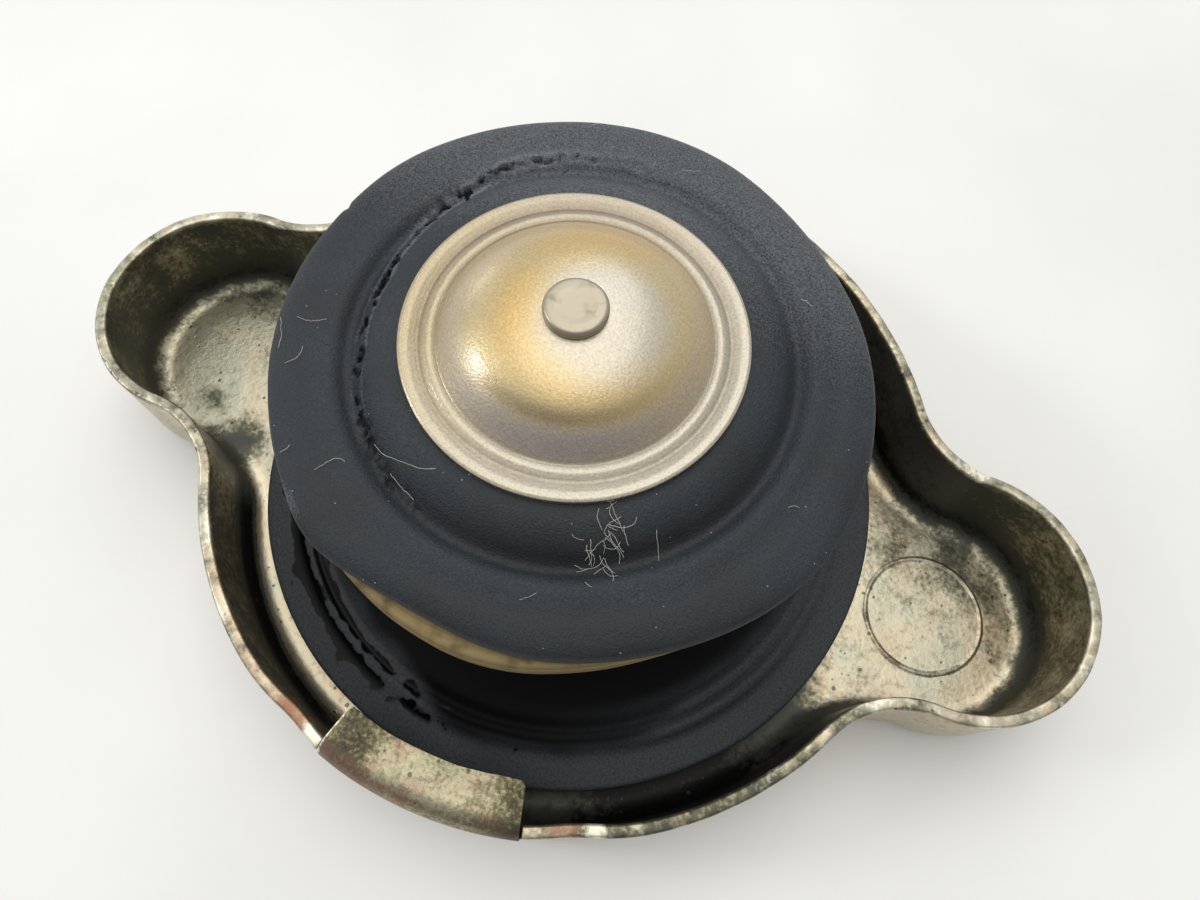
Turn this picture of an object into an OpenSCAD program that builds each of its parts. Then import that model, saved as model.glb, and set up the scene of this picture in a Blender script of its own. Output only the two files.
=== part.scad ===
// Radiator cap with two finger ears, lying on its outer face with the valve unit pointing up.
// Millimetres. The origin is at the middle of the outer face, X runs through the ears, and the
// locking lugs stand on Y.

/* [Shell] */
// Outer diameter of the round skirt
shell_d = 59; // [56:0.5:64]
// Height from the outer face to the rim
shell_h = 10.4; // [9:0.1:12]
// Thickness of the shell's sheet
sheet_t = 0.9; // [0.7:0.05:1.1]
// Inside radius of the bend between the outer face and the skirt
bend_r = 1.8; // [1.2:0.1:3]
// Outer radius of an ear's round end
ear_r = 10.1; // [9:0.1:11]
// Overall length across both ears
ear_span = 85.5; // [82:0.5:90]
// Concave radius where an ear runs into the skirt
ear_fillet_r = 7.5; // [6:0.1:9]
// Diameter of the ring pressed into the floor of one ear
ear_ring_d = 10.6; // [8:0.1:11]
// Width of the line of that ring
ear_ring_w = 0.6; // [0.4:0.1:0.9]
// Height that the ring stands up inside and sinks in outside
ear_ring_h = 0.25; // [0.1:0.05:0.4]

/* [Locking lugs] */
// Angle that each lug covers
lug_angle = 30; // [20:1:40]
// Length of a lug, from the outside of the skirt inwards
lug_reach = 4; // [3.2:0.1:4.5]
// Inside radius of the lug's fold
lug_bend_r = 0.6; // [0.3:0.1:0.9]
// Height of the lug's top above the rim
lug_rise = 0.6; // [0.2:0.1:1]
// Corner radius of a lug, seen from above
lug_corner_r = 1; // [0.6:0.1:1.4]

/* [Centre rivet] */
// Diameter of the pocket in the outer face that holds the rivet's head
pocket_d = 16; // [14:0.5:18]
// Depth of that pocket
pocket_h = 0.8; // [0.7:0.1:1.2]
// Diameter of the rivet's shank
rivet_d = 5.5; // [5:0.1:6.5]
// Diameter of the rivet's head
rivet_head_d = 10; // [9:0.5:12]
// Thickness of the rivet's head
rivet_head_h = 0.6; // [0.4:0.1:0.7]
// Diameter of the bore through the rivet
rivet_bore_d = 3.5; // [3:0.1:4]
// Diameter of the clinched end
clinch_d = 8.6; // [8:0.1:9.4]
// Thickness of the clinched end
clinch_h = 0.7; // [0.5:0.1:1]
// Diameter of the washer under the clinched end
washer_d = 12; // [10:0.5:14]
// Thickness of that washer
washer_t = 0.5; // [0.4:0.1:0.8]

/* [Upper seal] */
// Gap all round between the upper gasket and the inside of the skirt
seal_gap = 2.4; // [1.6:0.1:3.2]
// Thickness of the upper gasket at its edge
seal_t = 1.5; // [1.2:0.1:2]
// Distance from the upper gasket's edge in to its outer rib
seal_rib_in = 3.3; // [2.4:0.1:4]
// Distance between the two ribs
seal_rib_pitch = 1.2; // [1:0.1:1.5]
// Radius of a rib's round top
rib_round_r = 0.5; // [0.3:0.05:0.6]
// Height of the ribs above the gasket's face
rib_h = 0.35; // [0.2:0.05:0.5]
// Distance from the upper gasket's edge in to the edge of the friction spring under it
dish_in = 1.7; // [1.4:0.1:3]
// Thickness of the friction spring
dish_t = 0.4; // [0.3:0.05:0.6]
// Rise of the friction spring from its middle to its edge
dish_rise = 0.4; // [0.2:0.1:0.6]

/* [Bell housing] */
// Outer diameter of the bell that cages the pressure spring
bell_d = 29.2; // [28.4:0.1:31]
// Height of the bell
bell_h = 12.5; // [11:0.1:14]
// Thickness of the bell's sheet
bell_t = 0.6; // [0.5:0.05:0.8]
// Outer radius of the bell's bend
bell_bend_r = 2; // [1.5:0.1:2.2]
// Width of the lip that the bell turns inwards at its mouth
bell_lip_w = 1.85; // [1.6:0.05:2]
// Diameter of the ports in the bell's wall
port_d = 4.4; // [3:0.1:5]
// Number of ports
port_count = 4; // [3:1:6]

/* [Pressure valve] */
// How far the pressure valve can lift from its stop
valve_lift = 5; // [3:0.1:6]
// Space left between the valve plate and the bell at full lift
lift_clear = 0.9; // [0.4:0.1:1.5]
// Width of the valve plate's edge that shows round the pressure gasket
plate_margin = 0; // [-0.4:0.05:1]
// Thickness of the valve plate and the guide sleeve
valve_plate_t = 0.6; // [0.5:0.05:0.8]
// Length of the valve plate's turned-down edge, over the plate
plate_skirt_h = 1.6; // [1.2:0.1:2.2]
// Height of the raised middle
platform_h = 1.8; // [1.4:0.1:2.2]
// Run of the slope round the raised middle
platform_slope = 1.2; // [1:0.1:1.6]
// Width of the guide sleeve's lip behind the bell's lip
sleeve_lip_w = 1.3; // [1.1:0.05:1.4]
// Radial space between the guide sleeve and the bell's lip
sleeve_clear = 0.45; // [0.3:0.05:0.5]
// Diameter of the pressure gasket
gasket_d = 39; // [38:0.1:39.4]
// Thickness of the pressure gasket on the raised middle
gasket_t = 1.5; // [1.2:0.1:2]
// Thickness of the pressure gasket outside the raised middle
gasket_rim_t = 2; // [1.6:0.1:2.4]
// Distance from the foot of the raised middle out to the groove that the neck's seat has pressed in
groove_gap = 0.5; // [0.4:0.1:1.2]
// Depth of that groove
groove_h = 0.4; // [0.1:0.05:0.5]
// Half of that groove's width
groove_w = 0.9; // [0.6:0.1:1.2]
// Depth of the shallow print that an older seat has left outside the groove
print_h = 0.1; // [0.05:0.05:0.2]
// Drop of the gasket's upper face at its edge
edge_drop = 0.5; // [0.2:0.05:0.7]
// Diameter of the hole in the pressure gasket
gasket_hole_d = 17; // [16:0.1:17.4]
// Width of the eyelet's flange on the gasket
eyelet_flange_w = 0.8; // [0.5:0.05:0.9]
// Thickness of the eyelet
eyelet_t = 0.4; // [0.3:0.05:0.5]
// Radius of the circle of vents in the valve plate
vent_r = 5.5; // [5.2:0.1:5.8]
// Diameter of a vent
vent_d = 3; // [2:0.1:3.2]
// Number of vents
vent_count = 4; // [3:1:6]
// Wire diameter of the pressure spring
main_wire_d = 1.8; // [1.4:0.1:1.9]
// Turns of the pressure spring
main_turns = 6; // [5:0.5:7]

/* [Vacuum valve] */
// Diameter of the vacuum plate
vacuum_d = 22; // [21.4:0.1:22.8]
// Thickness of the vacuum plate
vacuum_t = 0.45; // [0.35:0.05:0.6]
// Diameter of the dome at its foot
dome_d = 17.6; // [16.8:0.1:18]
// Diameter of the nearly flat top of the dome
dome_top_d = 9.6; // [8:0.1:11]
// Height of the dome above the plate
dome_h = 2.85; // [2.4:0.05:3.2]
// Part of that height in the crown over the flank
crown_h = 0.25; // [0.1:0.05:0.4]
// Depth of the groove round the dome
dome_groove_h = 0.15; // [0.05:0.05:0.2]
// Height that the plate's edge turns up
vacuum_lip_h = 0.15; // [0.05:0.05:0.3]
// Diameter of the stem
stem_d = 3; // [2.4:0.1:3.2]
// Diameter of the stem's head
stem_head_d = 4; // [3.8:0.1:5]
// Thickness of the stem's head
stem_head_h = 0.6; // [0.4:0.1:0.8]
// How far the vacuum valve can open
vacuum_lift = 2.5; // [1.5:0.1:3]
// Travel that the light spring has left when the valve is fully open
vacuum_spare = 1.1; // [0.6:0.1:2]
// Mean diameter of the light spring
vacuum_coil_d = 6; // [5.4:0.1:6.6]
// Wire diameter of the light spring
vacuum_wire_d = 0.5; // [0.4:0.05:0.6]
// Turns of the light spring
vacuum_turns = 7; // [5:0.5:8]
// Thickness of the spring retainer
retainer_t = 0.5; // [0.4:0.05:0.7]
// Height of the spring retainer's rim
retainer_rim_h = 1.2; // [1:0.1:1.6]

/* [Fits] */
// Radial running clearance of shafts in holes
running = 0.05; // [0.02:0.01:0.1]
// Clearance between the ends of a spring and its seats
spring_seat = 0.05; // [0.02:0.01:0.2]
// Clearance between pieces that lie loosely on or in each other
loose = 0.1; // [0.05:0.05:0.2]

/* [Hidden] */
$fn = 96;
// Overshoot of cutting shapes past the faces that they cut
over = 1;
// Overlap of flat profiles that join to one
seam = 0.001;

// Outline of the shell: a round skirt, two ears and the concave runs between them
shell_r = shell_d / 2;
ear_x = ear_span / 2 - ear_r;
fillet_x = (pow(shell_r + ear_fillet_r, 2) - pow(ear_r + ear_fillet_r, 2) + ear_x * ear_x) / (2 * ear_x);
fillet_y = sqrt(pow(shell_r + ear_fillet_r, 2) - fillet_x * fillet_x);
to_skirt = atan2(-fillet_y, -fillet_x);
to_ear = atan2(-fillet_y, ear_x - fillet_x);
// Each concave run stops this angle before the point of tangency, where its step is a hundredth
// of a millimetre
run_trim = 3;
// The foot of each concave run meets the outer face at a small angle, not tangent to it
foot_sink = 0.02;

// Heights of the stack on the axis, from the outer face up
boss_z = pocket_h + sheet_t;
hub_z = boss_z + dish_t;
seal_z = hub_z + dish_rise + seal_t;
bell_floor_z = seal_z + bell_t;
clinch_z = bell_floor_z + washer_t;
bell_top_z = seal_z + bell_h;
lip_under_z = bell_top_z - bell_t;
plate_under_z = bell_top_z + valve_lift + lift_clear;
plate_top_z = plate_under_z + valve_plate_t;
platform_top_z = plate_top_z + platform_h;
platform_under_z = platform_top_z - valve_plate_t;
spring_top_z = platform_under_z - valve_plate_t;
seat_z = platform_top_z + gasket_t;
vacuum_top_z = seat_z + vacuum_t;
dome_top_z = vacuum_top_z + dome_h;
vacuum_spring_l = vacuum_lift + vacuum_spare + (vacuum_turns + 1) * vacuum_wire_d;
retainer_z = platform_under_z - vacuum_spring_l;

// Radii of the stack
boss_r = pocket_d / 2 + sheet_t;
rivet_hole_r = rivet_d / 2 + running;
bell_r = bell_d / 2;
bell_in_r = bell_r - bell_t;
bell_lip_r = bell_r - bell_lip_w;
sleeve_r = bell_lip_r - sleeve_clear;
sleeve_lip_r = sleeve_r + sleeve_lip_w;
main_coil_r = sleeve_r - valve_plate_t - loose - main_wire_d / 2;
sleeve_hole_r = main_coil_r - main_wire_d / 2 - loose;
platform_r = sleeve_r + valve_plate_t / 2 + loose;
slope_r = platform_r + platform_slope;
groove_r = slope_r + groove_gap;
gasket_r = gasket_d / 2;
plate_r = gasket_r + plate_margin;
gasket_hole_r = gasket_hole_d / 2;
eyelet_flange_r = gasket_hole_r + eyelet_flange_w;
stem_r = stem_d / 2;
seal_r = shell_r - sheet_t - seal_gap;
seal_rib_r = seal_r - seal_rib_in;
dish_r = seal_r - dish_in;
retainer_r = vacuum_coil_d / 2 + vacuum_wire_d / 2 + loose + retainer_t;

// One round sheet profile, turned about its axis: a disc whose lower edge is rounded
module round_disc(r, low_z, high_z, edge_r) {
    rotate_extrude() {
        translate([0, low_z + edge_r]) square([r, high_z - low_z - edge_r]);
        translate([0, low_z]) square([r - edge_r, edge_r + seam]);
        intersection() {
            translate([r - edge_r, low_z + edge_r]) circle(edge_r);
            translate([r - edge_r - seam, low_z]) square(edge_r + seam);
        }
    }
}

// The shape that leaves a concave run with a rounded foot when it is cut away
module concave_cutter(r, low_z, high_z, edge_r) {
    rotate_extrude() {
        translate([0, low_z - over]) square([r, high_z - low_z + 2 * over]);
        difference() {
            translate([0, low_z - over]) square([r + edge_r, edge_r + over]);
            translate([r + edge_r, low_z + edge_r - foot_sink]) circle(edge_r);
        }
    }
}

// Block that fills the corner between the skirt and an ear, with its concave run cut in
module corner_block(inset, low_z, high_z, edge_r) {
    run_r = ear_fillet_r + inset;
    skirt_dir = to_skirt + run_trim;
    ear_dir = to_ear - run_trim;
    skirt_reach = run_r + shell_r / 2;
    ear_reach = run_r + ear_r / 2;
    corner = [fillet_x, fillet_y];
    difference() {
        translate([0, 0, low_z]) linear_extrude(high_z - low_z) polygon([
            corner,
            corner + skirt_reach * [cos(skirt_dir), sin(skirt_dir)],
            [shell_r / 2, 0],
            [ear_x, 0],
            corner + ear_reach * [cos(ear_dir), sin(ear_dir)],
        ]);
        translate(corner) concave_cutter(run_r, low_z, high_z, edge_r);
    }
}

// Solid form of the shell, inset from its outline
module shell_form(inset, low_z, high_z) {
    edge_r = bend_r + sheet_t - inset;
    round_disc(shell_r - inset, low_z, high_z, edge_r);
    for (side = [0, 1]) mirror([side, 0, 0]) {
        translate([ear_x, 0, 0]) round_disc(ear_r - inset, low_z, high_z, edge_r);
        for (flank = [0, 1]) mirror([0, flank, 0]) corner_block(inset, low_z, high_z, edge_r);
    }
}

// Section through a lug: the top of the skirt folded inwards
module lug_section() {
    fold_r = lug_bend_r + sheet_t;
    lug_top_z = shell_h + lug_rise;
    fold = [shell_r - fold_r, lug_top_z - fold_r];
    translate([shell_r - sheet_t, shell_h - fold_r - over])
        square([sheet_t, fold[1] - shell_h + fold_r + over]);
    translate([shell_r - lug_reach, lug_top_z - sheet_t]) square([lug_reach - fold_r, sheet_t]);
    difference() {
        intersection() {
            translate(fold) circle(fold_r);
            translate(fold) square(fold_r);
        }
        translate(fold) circle(lug_bend_r);
    }
}

// Cuts one corner of a lug round
module lug_corner_cut(turn) {
    corner_r = shell_r - lug_reach + lug_corner_r;
    corner_angle = lug_angle / 2 - asin(lug_corner_r / corner_r);
    cut = lug_corner_r + over;
    rotate(turn * corner_angle) translate([corner_r, 0, shell_h - sheet_t])
        linear_extrude(sheet_t + lug_rise + over) difference() {
            translate([-cut, turn > 0 ? 0 : -cut]) square(cut);
            circle(lug_corner_r);
        }
}

module lug() {
    difference() {
        rotate_extrude(angle = lug_angle, start = -lug_angle / 2) lug_section();
        for (turn = [-1, 1]) lug_corner_cut(turn);
    }
}

// Ring that makes room for a lug's fold at the top of the skirt
module lug_room() {
    fold_r = lug_bend_r + sheet_t;
    rotate_extrude(angle = lug_angle, start = -lug_angle / 2)
        translate([shell_r - sheet_t - over, shell_h + lug_rise - fold_r])
            square([sheet_t + 2 * over, fold_r + over]);
}

// Ring of the mark in one ear
module ear_ring(low_z, height) {
    rotate_extrude() translate([(ear_ring_d - ear_ring_w) / 2, low_z]) square([ear_ring_w, height]);
}

module shell() {
    color("#a89f86") {
        difference() {
            union() {
                difference() {
                    shell_form(0, 0, shell_h);
                    shell_form(sheet_t, sheet_t, shell_h + over);
                    for (side = [90, 270]) rotate(side) lug_room();
                }
                cylinder(r = boss_r, h = boss_z);
                translate([ear_x, 0, 0]) ear_ring(sheet_t / 2, sheet_t / 2 + ear_ring_h);
            }
            translate([0, 0, -over]) cylinder(d = pocket_d, h = pocket_h + over);
            translate([0, 0, -over]) cylinder(r = rivet_hole_r, h = boss_z + 2 * over);
            translate([ear_x, 0, 0]) ear_ring(-over, over + ear_ring_h);
        }
        for (side = [90, 270]) rotate(side) lug();
    }
}

module centre_rivet() {
    head_z = pocket_h - rivet_head_h;
    color("#8c8878") difference() {
        union() {
            translate([0, 0, head_z]) cylinder(d = rivet_head_d, h = rivet_head_h);
            translate([0, 0, head_z]) cylinder(d = rivet_d, h = clinch_z - head_z);
            translate([0, 0, clinch_z]) cylinder(d1 = clinch_d, d2 = clinch_d - clinch_h, h = clinch_h);
        }
        translate([0, 0, -over]) cylinder(d = rivet_bore_d, h = clinch_z + clinch_h + 2 * over);
    }
}

module rivet_washer() {
    color("#7d7a70") translate([0, 0, bell_floor_z]) difference() {
        cylinder(d = washer_d, h = washer_t);
        translate([0, 0, -over]) cylinder(r = rivet_hole_r, h = washer_t + 2 * over);
    }
}

module friction_spring() {
    color("#6f6a5c") rotate_extrude() polygon([
        [rivet_hole_r, boss_z],
        [boss_r, boss_z],
        [dish_r, boss_z + dish_rise],
        [dish_r, hub_z + dish_rise],
        [boss_r, hub_z],
        [rivet_hole_r, hub_z],
    ]);
}

module upper_gasket() {
    color("#1b1d20") rotate_extrude() {
        polygon([
            [rivet_hole_r, hub_z],
            [boss_r, hub_z],
            [dish_r, hub_z + dish_rise],
            [seal_r, hub_z + dish_rise],
            [seal_r, seal_z - rib_h],
            [seal_r - rib_h, seal_z],
            [rivet_hole_r, seal_z],
        ]);
        for (row = [0, 1])
            translate([seal_rib_r - row * seal_rib_pitch, seal_z + rib_h - rib_round_r])
                circle(rib_round_r);
    }
}

// Half of the bell's section: floor, bend, wall and the lip turned in at the mouth
module bell_section() {
    bend_in_r = bell_bend_r - bell_t;
    bend = [bell_r - bell_bend_r, seal_z + bell_bend_r];
    translate([rivet_hole_r, seal_z]) square([bend[0] - rivet_hole_r, bell_t]);
    difference() {
        intersection() {
            translate(bend) circle(bell_bend_r);
            translate([bend[0], seal_z]) square(bell_bend_r);
        }
        translate(bend) circle(bend_in_r);
    }
    translate([bell_in_r, bend[1]]) square([bell_t, bell_top_z - bend[1]]);
    translate([bell_lip_r, lip_under_z]) square([bell_lip_w, bell_t]);
}

module bell_housing() {
    port_z = (bell_floor_z + lip_under_z) / 2;
    color("#8a7440") difference() {
        rotate_extrude() bell_section();
        for (port = [0 : port_count - 1]) rotate((port + 0.5) * 360 / port_count)
            translate([bell_in_r - bell_t, 0, port_z]) rotate([0, 90, 0])
                cylinder(d = port_d, h = 3 * bell_t);
    }
}

// Height of a coil's wire along its length: one closed turn at each end, even pitch between
function coil_rise(turn, turns, wire_d, length) =
    let (open_rise = (length - 3 * wire_d) / (turns - 2))
    turn < 1 ? wire_d * turn :
    turn > turns - 1 ? length - wire_d - wire_d * (turns - turn) :
    wire_d + open_rise * (turn - 1);

// Helical compression spring that stands on z = 0
module coil_spring(coil_r, wire_d, length, turns, steps, sides) {
    rings = round(turns * steps);
    points = [
        for (ring = [0 : rings], side = [0 : sides - 1])
            let (
                turn = ring / steps,
                around = 360 * side / sides,
                r = coil_r + wire_d / 2 * cos(around),
                z = wire_d / 2 + coil_rise(turn, turns, wire_d, length) + wire_d / 2 * sin(around)
            )
            [r * cos(360 * turn), r * sin(360 * turn), z]
    ];
    walls = [
        for (ring = [0 : rings - 1], side = [0 : sides - 1])
            let (next = (side + 1) % sides, here = ring * sides, ahead = here + sides)
            each [[here + side, here + next, ahead + next], [here + side, ahead + next, ahead + side]]
    ];
    start_cap = [for (side = [sides - 1 : -1 : 0]) side];
    end_cap = [for (side = [0 : sides - 1]) rings * sides + side];
    polyhedron(points, concat(walls, [start_cap, end_cap]), convexity = 10);
}

module pressure_spring() {
    length = spring_top_z - bell_floor_z - 2 * spring_seat;
    color("#5c5a55") translate([0, 0, bell_floor_z + spring_seat])
        coil_spring(main_coil_r, main_wire_d, length, main_turns, steps = 20, sides = 8);
}

module valve_plate() {
    color("#a98a4a") difference() {
        rotate_extrude() polygon([
            [stem_r + running, platform_under_z],
            [platform_r - valve_plate_t / 2, platform_under_z],
            [slope_r - valve_plate_t / 2, plate_under_z],
            [plate_r - valve_plate_t, plate_under_z],
            [plate_r - valve_plate_t, plate_top_z - plate_skirt_h],
            [plate_r, plate_top_z - plate_skirt_h],
            [plate_r, plate_top_z - valve_plate_t / 2],
            [plate_r - valve_plate_t / 2, plate_top_z],
            [slope_r, plate_top_z],
            [platform_r, platform_top_z],
            [stem_r + running, platform_top_z],
        ]);
        for (vent = [0 : vent_count - 1]) rotate(vent * 360 / vent_count)
            translate([vent_r, 0, platform_under_z - over])
                cylinder(d = vent_d, h = valve_plate_t + 2 * over);
    }
}

module guide_sleeve() {
    lip_z = lip_under_z - valve_plate_t;
    color("#9c8044") rotate_extrude() {
        translate([sleeve_hole_r, spring_top_z]) square([sleeve_r - sleeve_hole_r, valve_plate_t]);
        translate([sleeve_r - valve_plate_t, lip_z]) square([valve_plate_t, platform_under_z - lip_z]);
        translate([sleeve_r - valve_plate_t, lip_z]) square([sleeve_lip_w + valve_plate_t, valve_plate_t]);
    }
}

// Smooth step from 0 to 1
function ease(share) = let (part = min(max(share, 0), 1)) part * part * (3 - 2 * part);

// Height of the pressure gasket's upper face at a radius: raised middle, groove, print and dropped edge
function gasket_face(r) =
    let (
        rim_z = plate_top_z + gasket_rim_t,
        flat_r = groove_r + groove_w,
        print_r = (flat_r + gasket_r) / 2,
        print_w = (gasket_r - flat_r) / 4,
        rise = (seat_z - rim_z) * ease((groove_r - r) / (groove_r - vacuum_d / 2 - loose)),
        groove = groove_h * ease(1 - abs(r - groove_r) / groove_w),
        mark = print_h * ease(1 - abs(r - print_r) / print_w),
        drop = edge_drop * ease((r - print_r - print_w) / (gasket_r - print_r - print_w))
    )
    rim_z + rise - groove - mark - drop;

module pressure_gasket() {
    rings = 44;
    flat_r = vacuum_d / 2 + loose;
    radii = [for (ring = [0 : rings]) gasket_r - (gasket_r - flat_r) * ring / rings];
    color("#222427") rotate_extrude() polygon(concat(
        [
            [gasket_hole_r, platform_top_z],
            [platform_r, platform_top_z],
            [slope_r, plate_top_z],
            [gasket_r, plate_top_z],
        ],
        [for (r = radii) [r, gasket_face(r)]],
        [
            [eyelet_flange_r + loose, seat_z],
            [eyelet_flange_r + loose, seat_z - eyelet_t],
            [gasket_hole_r, seat_z - eyelet_t],
        ]
    ));
}

module gasket_eyelet() {
    eyelet_in_r = gasket_hole_r - eyelet_t;
    color("#a98a4a") rotate_extrude() {
        translate([eyelet_in_r, platform_top_z]) square([eyelet_t, gasket_t]);
        translate([eyelet_in_r, seat_z - eyelet_t]) square([eyelet_flange_r - eyelet_in_r, eyelet_t]);
    }
}

module vacuum_spring() {
    color("#b9b9b4") translate([0, 0, retainer_z + spring_seat])
        coil_spring(
            vacuum_coil_d / 2, vacuum_wire_d, vacuum_spring_l - 2 * spring_seat, vacuum_turns,
            steps = 14, sides = 6
        );
}

// Height of the vacuum plate's upper face at a radius: dome, groove round its foot and turned-up edge
function vacuum_face(r) =
    let (
        edge_r = vacuum_d / 2,
        foot_r = dome_d / 2,
        top_r = dome_top_d / 2,
        groove_mid = (edge_r + foot_r) / 2,
        groove_half = (edge_r - foot_r) / 4,
        flank = sin(90 * min(max((foot_r - r) / (foot_r - top_r), 0), 1)),
        crown = 1 - pow(min(r / top_r, 1), 2),
        dome = (dome_h - crown_h) * flank + crown_h * crown,
        groove = dome_groove_h * ease(1 - abs(r - groove_mid) / groove_half),
        lip = vacuum_lip_h * ease((r - groove_mid - groove_half) / groove_half)
    )
    vacuum_top_z + dome - groove + lip;

module vacuum_plate() {
    edge_r = vacuum_d / 2;
    hole_r = stem_r + running;
    hollow_r = dome_d / 2 - vacuum_t;
    // Upright thickness of the sheet in the sloping flank
    flank_t = 1.3 * vacuum_t;
    rings = 36;
    radii = [for (ring = [0 : rings]) hole_r + (edge_r - hole_r) * ring / rings];
    under_radii = [for (ring = [0 : rings]) hollow_r - (hollow_r - hole_r) * ring / rings];
    upper = [for (r = radii) [r, vacuum_face(r)]];
    under = [for (r = under_radii) [r, max(vacuum_face(r + vacuum_t / 2) - flank_t, seat_z)]];
    color("#b8ad8e") rotate_extrude() polygon(concat(upper, [[edge_r, seat_z]], under));
}

module vacuum_stem() {
    upset_h = 2 * retainer_t;
    upset_z = retainer_z - retainer_t - upset_h;
    edge = stem_head_h / 3;
    color("#c9c4b4") {
        translate([0, 0, upset_z]) cylinder(r = stem_r + retainer_t, h = upset_h);
        translate([0, 0, upset_z]) cylinder(r = stem_r, h = dome_top_z - upset_z + stem_head_h / 2);
        translate([0, 0, dome_top_z]) cylinder(d = stem_head_d, h = stem_head_h - edge);
        translate([0, 0, dome_top_z + stem_head_h - edge])
            cylinder(d1 = stem_head_d, d2 = stem_head_d - 2 * edge, h = edge);
    }
}

module spring_retainer() {
    color("#9c9788") translate([0, 0, retainer_z - retainer_t]) difference() {
        cylinder(r = retainer_r, h = retainer_t + retainer_rim_h);
        translate([0, 0, retainer_t]) cylinder(r = retainer_r - retainer_t, h = retainer_rim_h + over);
        translate([0, 0, -over]) cylinder(r = stem_r + running, h = retainer_t + 2 * over);
    }
}

shell();
centre_rivet();
friction_spring();
upper_gasket();
bell_housing();
rivet_washer();
pressure_spring();
valve_plate();
guide_sleeve();
pressure_gasket();
gasket_eyelet();
vacuum_spring();
vacuum_plate();
vacuum_stem();
spring_retainer();
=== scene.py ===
"""Dresses a worn radiator cap that lies on its outer face with its valve unit pointing up.

Sizes are millimetres in the cap's own frame: the origin is at the middle of the outer face, X runs
through the two ears, Y through the locking lugs and Z points out of the cap's mouth. Directions are
degrees about Z, counted from +X, so the front lug stands at -90.
"""

from __future__ import annotations

import logging
import math
import random
from dataclasses import dataclass
from enum import Enum
from functools import partial
from typing import Any, Callable, Iterable, Mapping, Sequence

import bmesh
import bpy
import numpy as np
from mathutils import Matrix, Vector, noise

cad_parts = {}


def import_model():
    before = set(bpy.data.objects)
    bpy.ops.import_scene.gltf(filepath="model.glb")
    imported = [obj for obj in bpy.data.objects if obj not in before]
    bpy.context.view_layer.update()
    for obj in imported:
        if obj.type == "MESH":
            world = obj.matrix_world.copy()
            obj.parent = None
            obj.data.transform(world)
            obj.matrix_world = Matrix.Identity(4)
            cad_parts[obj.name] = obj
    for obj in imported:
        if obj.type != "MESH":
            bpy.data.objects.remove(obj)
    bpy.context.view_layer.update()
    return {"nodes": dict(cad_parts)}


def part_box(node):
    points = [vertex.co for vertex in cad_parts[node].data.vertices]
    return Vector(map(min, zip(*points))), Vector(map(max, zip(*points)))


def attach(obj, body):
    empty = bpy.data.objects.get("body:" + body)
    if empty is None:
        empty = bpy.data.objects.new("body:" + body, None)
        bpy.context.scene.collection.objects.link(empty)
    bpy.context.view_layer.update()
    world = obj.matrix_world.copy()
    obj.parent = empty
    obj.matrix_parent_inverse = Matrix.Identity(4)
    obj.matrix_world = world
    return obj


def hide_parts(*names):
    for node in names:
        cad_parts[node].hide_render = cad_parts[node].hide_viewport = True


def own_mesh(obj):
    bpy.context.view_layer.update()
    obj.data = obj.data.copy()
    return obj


LOG = logging.getLogger("radiator_cap")
MM = 0.001
FULL_TURN = 2 * math.pi
QUARTER_TURN = math.pi / 2
FLAT = (1, 1, 0)
COLOUR_MIX = {"data_type": "RGBA", "out": 2}
Knots = tuple[tuple[float, float], ...]
Marks = tuple[tuple[float, float, float], ...]
Adder = Callable[..., bpy.types.NodeSocket]
Masks = Mapping[str, np.ndarray]
Warp = Callable[[np.ndarray], np.ndarray]
Paint = Callable[[np.ndarray], Masks]


class Body(Enum):
    """The bodies that move against each other."""

    SHELL = "shell"
    INSERT = "insert"
    PRESSURE = "pressure_valve"
    VACUUM = "vacuum_valve"


class Zone(Enum):
    """The stretches of the shell's sheet, from its middle over the rim to the outer face."""

    BOSS = "boss"
    FLOOR = "floor"
    BEND = "bend"
    WALL = "wall"
    RIM = "rim"
    OUTSIDE = "outside"
    UNDER = "under"


# Shared steps for colours, nodes and meshes


def linear(code: str) -> tuple[float, float, float, float]:
    """Turns an sRGB colour to linear light.

    Args:
        code: The colour as a hex value, such as "#c8bfa6".

    Returns:
        Red, green, blue and an alpha of 1.
    """
    parts = [int(code[start : start + 2], 16) / 255 for start in (1, 3, 5)]
    red, green, blue = [p / 12.92 if p <= 0.04045 else ((p + 0.055) / 1.055) ** 2.4 for p in parts]
    return red, green, blue, 1.0


def per_mm(size: float) -> float:
    """Gives a pattern's scale for features of a size in millimetres."""
    return 1 / (size * MM)


def add(
    tree: bpy.types.NodeTree,
    kind: str,
    inputs: Mapping[Any, Any] | None = None,
    ramp: Sequence[tuple[float, str]] = (),
    out: int | str = 0,
    **settings: Any,
) -> bpy.types.NodeSocket | None:
    """Adds a shader node with its settings and links.

    Args:
        tree: The node tree that the node goes into.
        kind: The node's type name after "ShaderNode".
        inputs: Values or output sockets by input name or number.
        ramp: Stops of a colour ramp, as positions and hex colours.
        out: The output that is wanted, by name or number.
        settings: The node's own properties.

    Returns:
        The wanted output, or None for a node that has no outputs.
    """
    node = tree.nodes.new(f"ShaderNode{kind}")
    for name, value in settings.items():
        setattr(node, name, value)
    for index, (position, code) in enumerate(ramp):
        stops = node.color_ramp.elements
        stop = stops[index] if index < 2 else stops.new(position)
        stop.position, stop.color = position, linear(code)
    for name, value in (inputs or {}).items():
        if isinstance(value, bpy.types.NodeSocket):
            tree.links.new(value, node.inputs[name])
        else:
            node.inputs[name].default_value = value
    return node.outputs[out] if len(node.outputs) else None


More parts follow.
